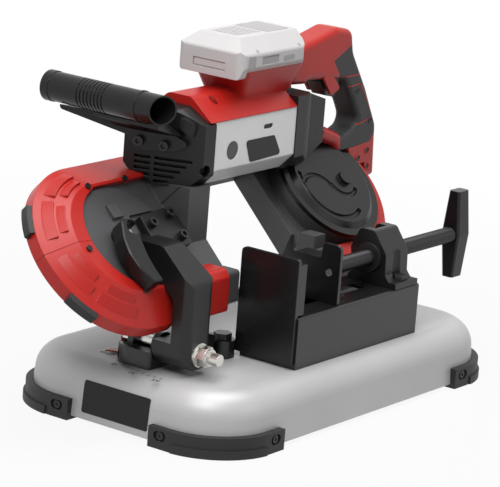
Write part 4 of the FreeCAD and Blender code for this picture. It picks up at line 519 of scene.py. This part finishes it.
def battery_marks(grey):
    """The battery's inset panels, darker grey strips between its ridges as painted shade, and the screws in
    its shoulder.
    """
    for name, corners, radius, depth in BATTERY_PANELS:
        front = [on_battery(p.x, depth - 0.3, p.y) for p in rounded(corners, radius)]
        slab(f"battery_{name}", front, Vector((0, 0.3 * MM, 0)), grey, "battery")
    top = [on_battery(p.x, p.y, BATTERY_TOP_Z + 0.3) for p in reversed(rounded(BATTERY_TOP, 3))]
    slab("battery_top", top, Vector((0, 0, -0.3 * MM)), grey, "battery")
    # Darker grey strips on the floor between the ridges: painted shade in the gaps.
    for k in range(RIDGE_COUNT):
        x = RIDGE_START + RIDGE_STEP * k
        corners = ((x + 0.1, 57.9), (x + 2.4, 57.9), (x + 2.4, 24.1), (x + 0.1, 24.1))
        front = [on_battery(a, b, RIDGE_FLOOR + 0.2) for a, b in corners]
        slab(f"battery_gap_shade_{k}", front, Vector((0, 0, -0.2 * MM)), grey, "battery")
    for k, (x, z) in enumerate(BATTERY_SCREWS):
        spot, normal = struck("battery_pack", on_battery(x, NEAR_START, z), INWARD)
        profile = ((2.2, -0.2), (2.0, 0.2), (1.2, 0.2), (1.0, 0.05))
        turned(f"battery_screw_{k}", spot, normal, profile, grey, "battery")


def small_screws(materials):
    """Screws in the moulded pockets of the nose and the top shell."""
    x, z = NOSE_SCREW
    spot, normal = struck("nose_housing", drawn(x, NEAR_START, z), INWARD)
    screw_head("nose_screw", spot, normal, NOSE_SCREW_RADIUS, materials)
    x, y = TOP_SCREW
    spot, normal = struck("top_housing", drawn(x, y, HIGH_START), DOWNWARD)
    screw_head("top_screw", spot, normal, TOP_SCREW_RADIUS, materials)


def threaded_screw(material):
    """The vise screw with its thread cut as one continuous helix."""
    low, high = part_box("vise_screw")
    crest = (high.z - low.z) / 2
    root = crest - THREAD_DEPTH
    centre_y = (low.y + high.y) / 2
    centre_z = (low.z + high.z) / 2
    profile = ((0.0, root), (0.15, root), (0.4, crest), (0.6, crest), (0.85, root))
    points = []
    turns = math.ceil((high.x - low.x) / THREAD_PITCH) + 1
    for turn in range(-1, turns):
        for share, radius in profile:
            for side in range(THREAD_SIDES + 1):
                angle = 2 * math.pi * side / THREAD_SIDES
                x = low.x + (turn + share + side / THREAD_SIDES) * THREAD_PITCH
                x = min(max(x, low.x), high.x)
                points.append((x, centre_y + radius * math.cos(angle), centre_z + radius * math.sin(angle)))
    rows = len(profile) * (turns + 1)
    columns = THREAD_SIDES + 1
    faces = grid_faces(rows, columns)
    for x, first in ((low.x, 0), (high.x, (rows - 1) * columns)):
        middle = len(points)
        points.append((x, centre_y, centre_z))
        faces += [(first + k, first + k + 1, middle) for k in range(THREAD_SIDES)]
    made = piece("threaded_screw", points, faces, material, "screw", True)
    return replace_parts(made, "vise_screw")


def area_light(name, place, aim, size, power):
    light = bpy.data.lights.new(name, "AREA")
    light.shape = "RECTANGLE"
    light.size, light.size_y = size
    light.energy = power
    made = bpy.data.objects.new(name, light)
    bpy.context.scene.collection.objects.link(made)
    made.location = place
    made.rotation_mode = "QUATERNION"
    made.rotation_quaternion = (Vector(aim) - Vector(place)).to_track_quat("-Z", "Y")


def seen_ray(tree):
    """1 for what the camera sees directly, in a reflection or through glass."""
    path = tree.nodes.new("ShaderNodeLightPath")
    value = path.outputs["Is Camera Ray"]
    for name in ("Is Glossy Ray", "Is Transmission Ray"):
        either = tree.nodes.new("ShaderNodeMath")
        either.operation = "MAXIMUM"
        tree.links.new(value, either.inputs[0])
        tree.links.new(path.outputs[name], either.inputs[1])
        value = either.outputs[0]
    return value


def make_floor():
    """A wide pale floor that keeps the object's shadow and meets a white background."""
    mesh = bpy.data.meshes.new("floor")
    corners = [(x * FLOOR_HALF, y * FLOOR_HALF, 0) for x, y in ((-1, -1), (1, -1), (1, 1), (-1, 1))]
    mesh.from_pydata(corners, [], [(0, 1, 2, 3)])
    floor = bpy.data.objects.new("floor", mesh)
    bpy.context.scene.collection.objects.link(floor)
    material, tree, principled, place = shader_tree("floor")
    principled.inputs["Roughness"].default_value = 0.9
    tree.links.new(tint(tree, noise(tree, place, 3.0), FLOOR, 0.01), principled.inputs["Base Color"])
    glow = tree.nodes.new("ShaderNodeEmission")
    reach = tree.nodes.new("ShaderNodeVectorMath")
    reach.operation = "LENGTH"
    tree.links.new(place, reach.inputs[0])
    fade = tree.nodes.new("ShaderNodeMapRange")
    fade.inputs["From Min"].default_value, fade.inputs["From Max"].default_value = GLOW_REACH
    fade.inputs["To Min"].default_value, fade.inputs["To Max"].default_value = GLOW_SHARE
    tree.links.new(reach.outputs["Value"], fade.inputs["Value"])
    share = tree.nodes.new("ShaderNodeMath")
    share.operation = "MULTIPLY"
    tree.links.new(fade.outputs["Result"], share.inputs[1])
    mix = tree.nodes.new("ShaderNodeMixShader")
    tree.links.new(seen_ray(tree), share.inputs[0])
    tree.links.new(share.outputs[0], mix.inputs["Fac"])
    tree.links.new(principled.outputs["BSDF"], mix.inputs[1])
    tree.links.new(glow.outputs["Emission"], mix.inputs[2])
    tree.links.new(mix.outputs["Shader"], tree.nodes["Material Output"].inputs["Surface"])
    mesh.materials.append(material)


def make_world():
    """White to the camera and to reflections, softer as light."""
    world = bpy.data.worlds.new("studio")
    bpy.context.scene.world = world
    world.use_nodes = True
    tree = world.node_tree
    background = tree.nodes["Background"]
    background.inputs["Color"].default_value = (1, 1, 1, 1)
    remap = tree.nodes.new("ShaderNodeMapRange")
    remap.inputs["To Min"].default_value = WORLD_LIGHT
    remap.inputs["To Max"].default_value = WORLD_SEEN
    tree.links.new(seen_ray(tree), remap.inputs["Value"])
    tree.links.new(remap.outputs["Result"], background.inputs["Strength"])


def make_camera():
    camera = bpy.data.cameras.new("camera")
    camera.lens = CAMERA_LENS
    camera.sensor_width = 36.0
    made = bpy.data.objects.new("camera", camera)
    bpy.context.scene.collection.objects.link(made)
    back = CAMERA_BACK.normalized()
    right = CAMERA_UP.cross(back).normalized()
    up = back.cross(right)
    turn = Matrix((right, up, back)).transposed()
    made.matrix_world = Matrix.Translation(CAMERA_PLACE) @ turn.to_4x4()
    bpy.context.scene.camera = made


materials = make_materials()
dress_nodes(materials)
# Black for the bare plates, also laid in the handle's screw wells as painted shade.
plate_and_shade_black = finish_of("plate_and_shade_black", PLATE_AND_SHADE_BLACK, 0.34, 0, 1800, 0.00001, 0.0003, 0.04, shine=0.3)
ink = finish_of("scale_ink", INK, 0.6)
pan_plate(plate_and_shade_black)
housing_marks(materials, plate_and_shade_black)
handle_marks(materials, plate_and_shade_black)
small_screws(materials)
battery_marks(finish_of("battery_grey", BATTERY_GREY, 0.5, 0, 1300, 0.00003, 0.0006, 0.03))
for number, degrees in SCALE_MARKS:
    scale_number(number, degrees, ink)
scale_ticks(ink)
threaded_screw(materials["black_steel"])
make_floor()
make_world()
for lamp in LAMPS:
    area_light(*lamp)
make_camera()
bpy.context.scene.view_settings.view_transform = "Standard"
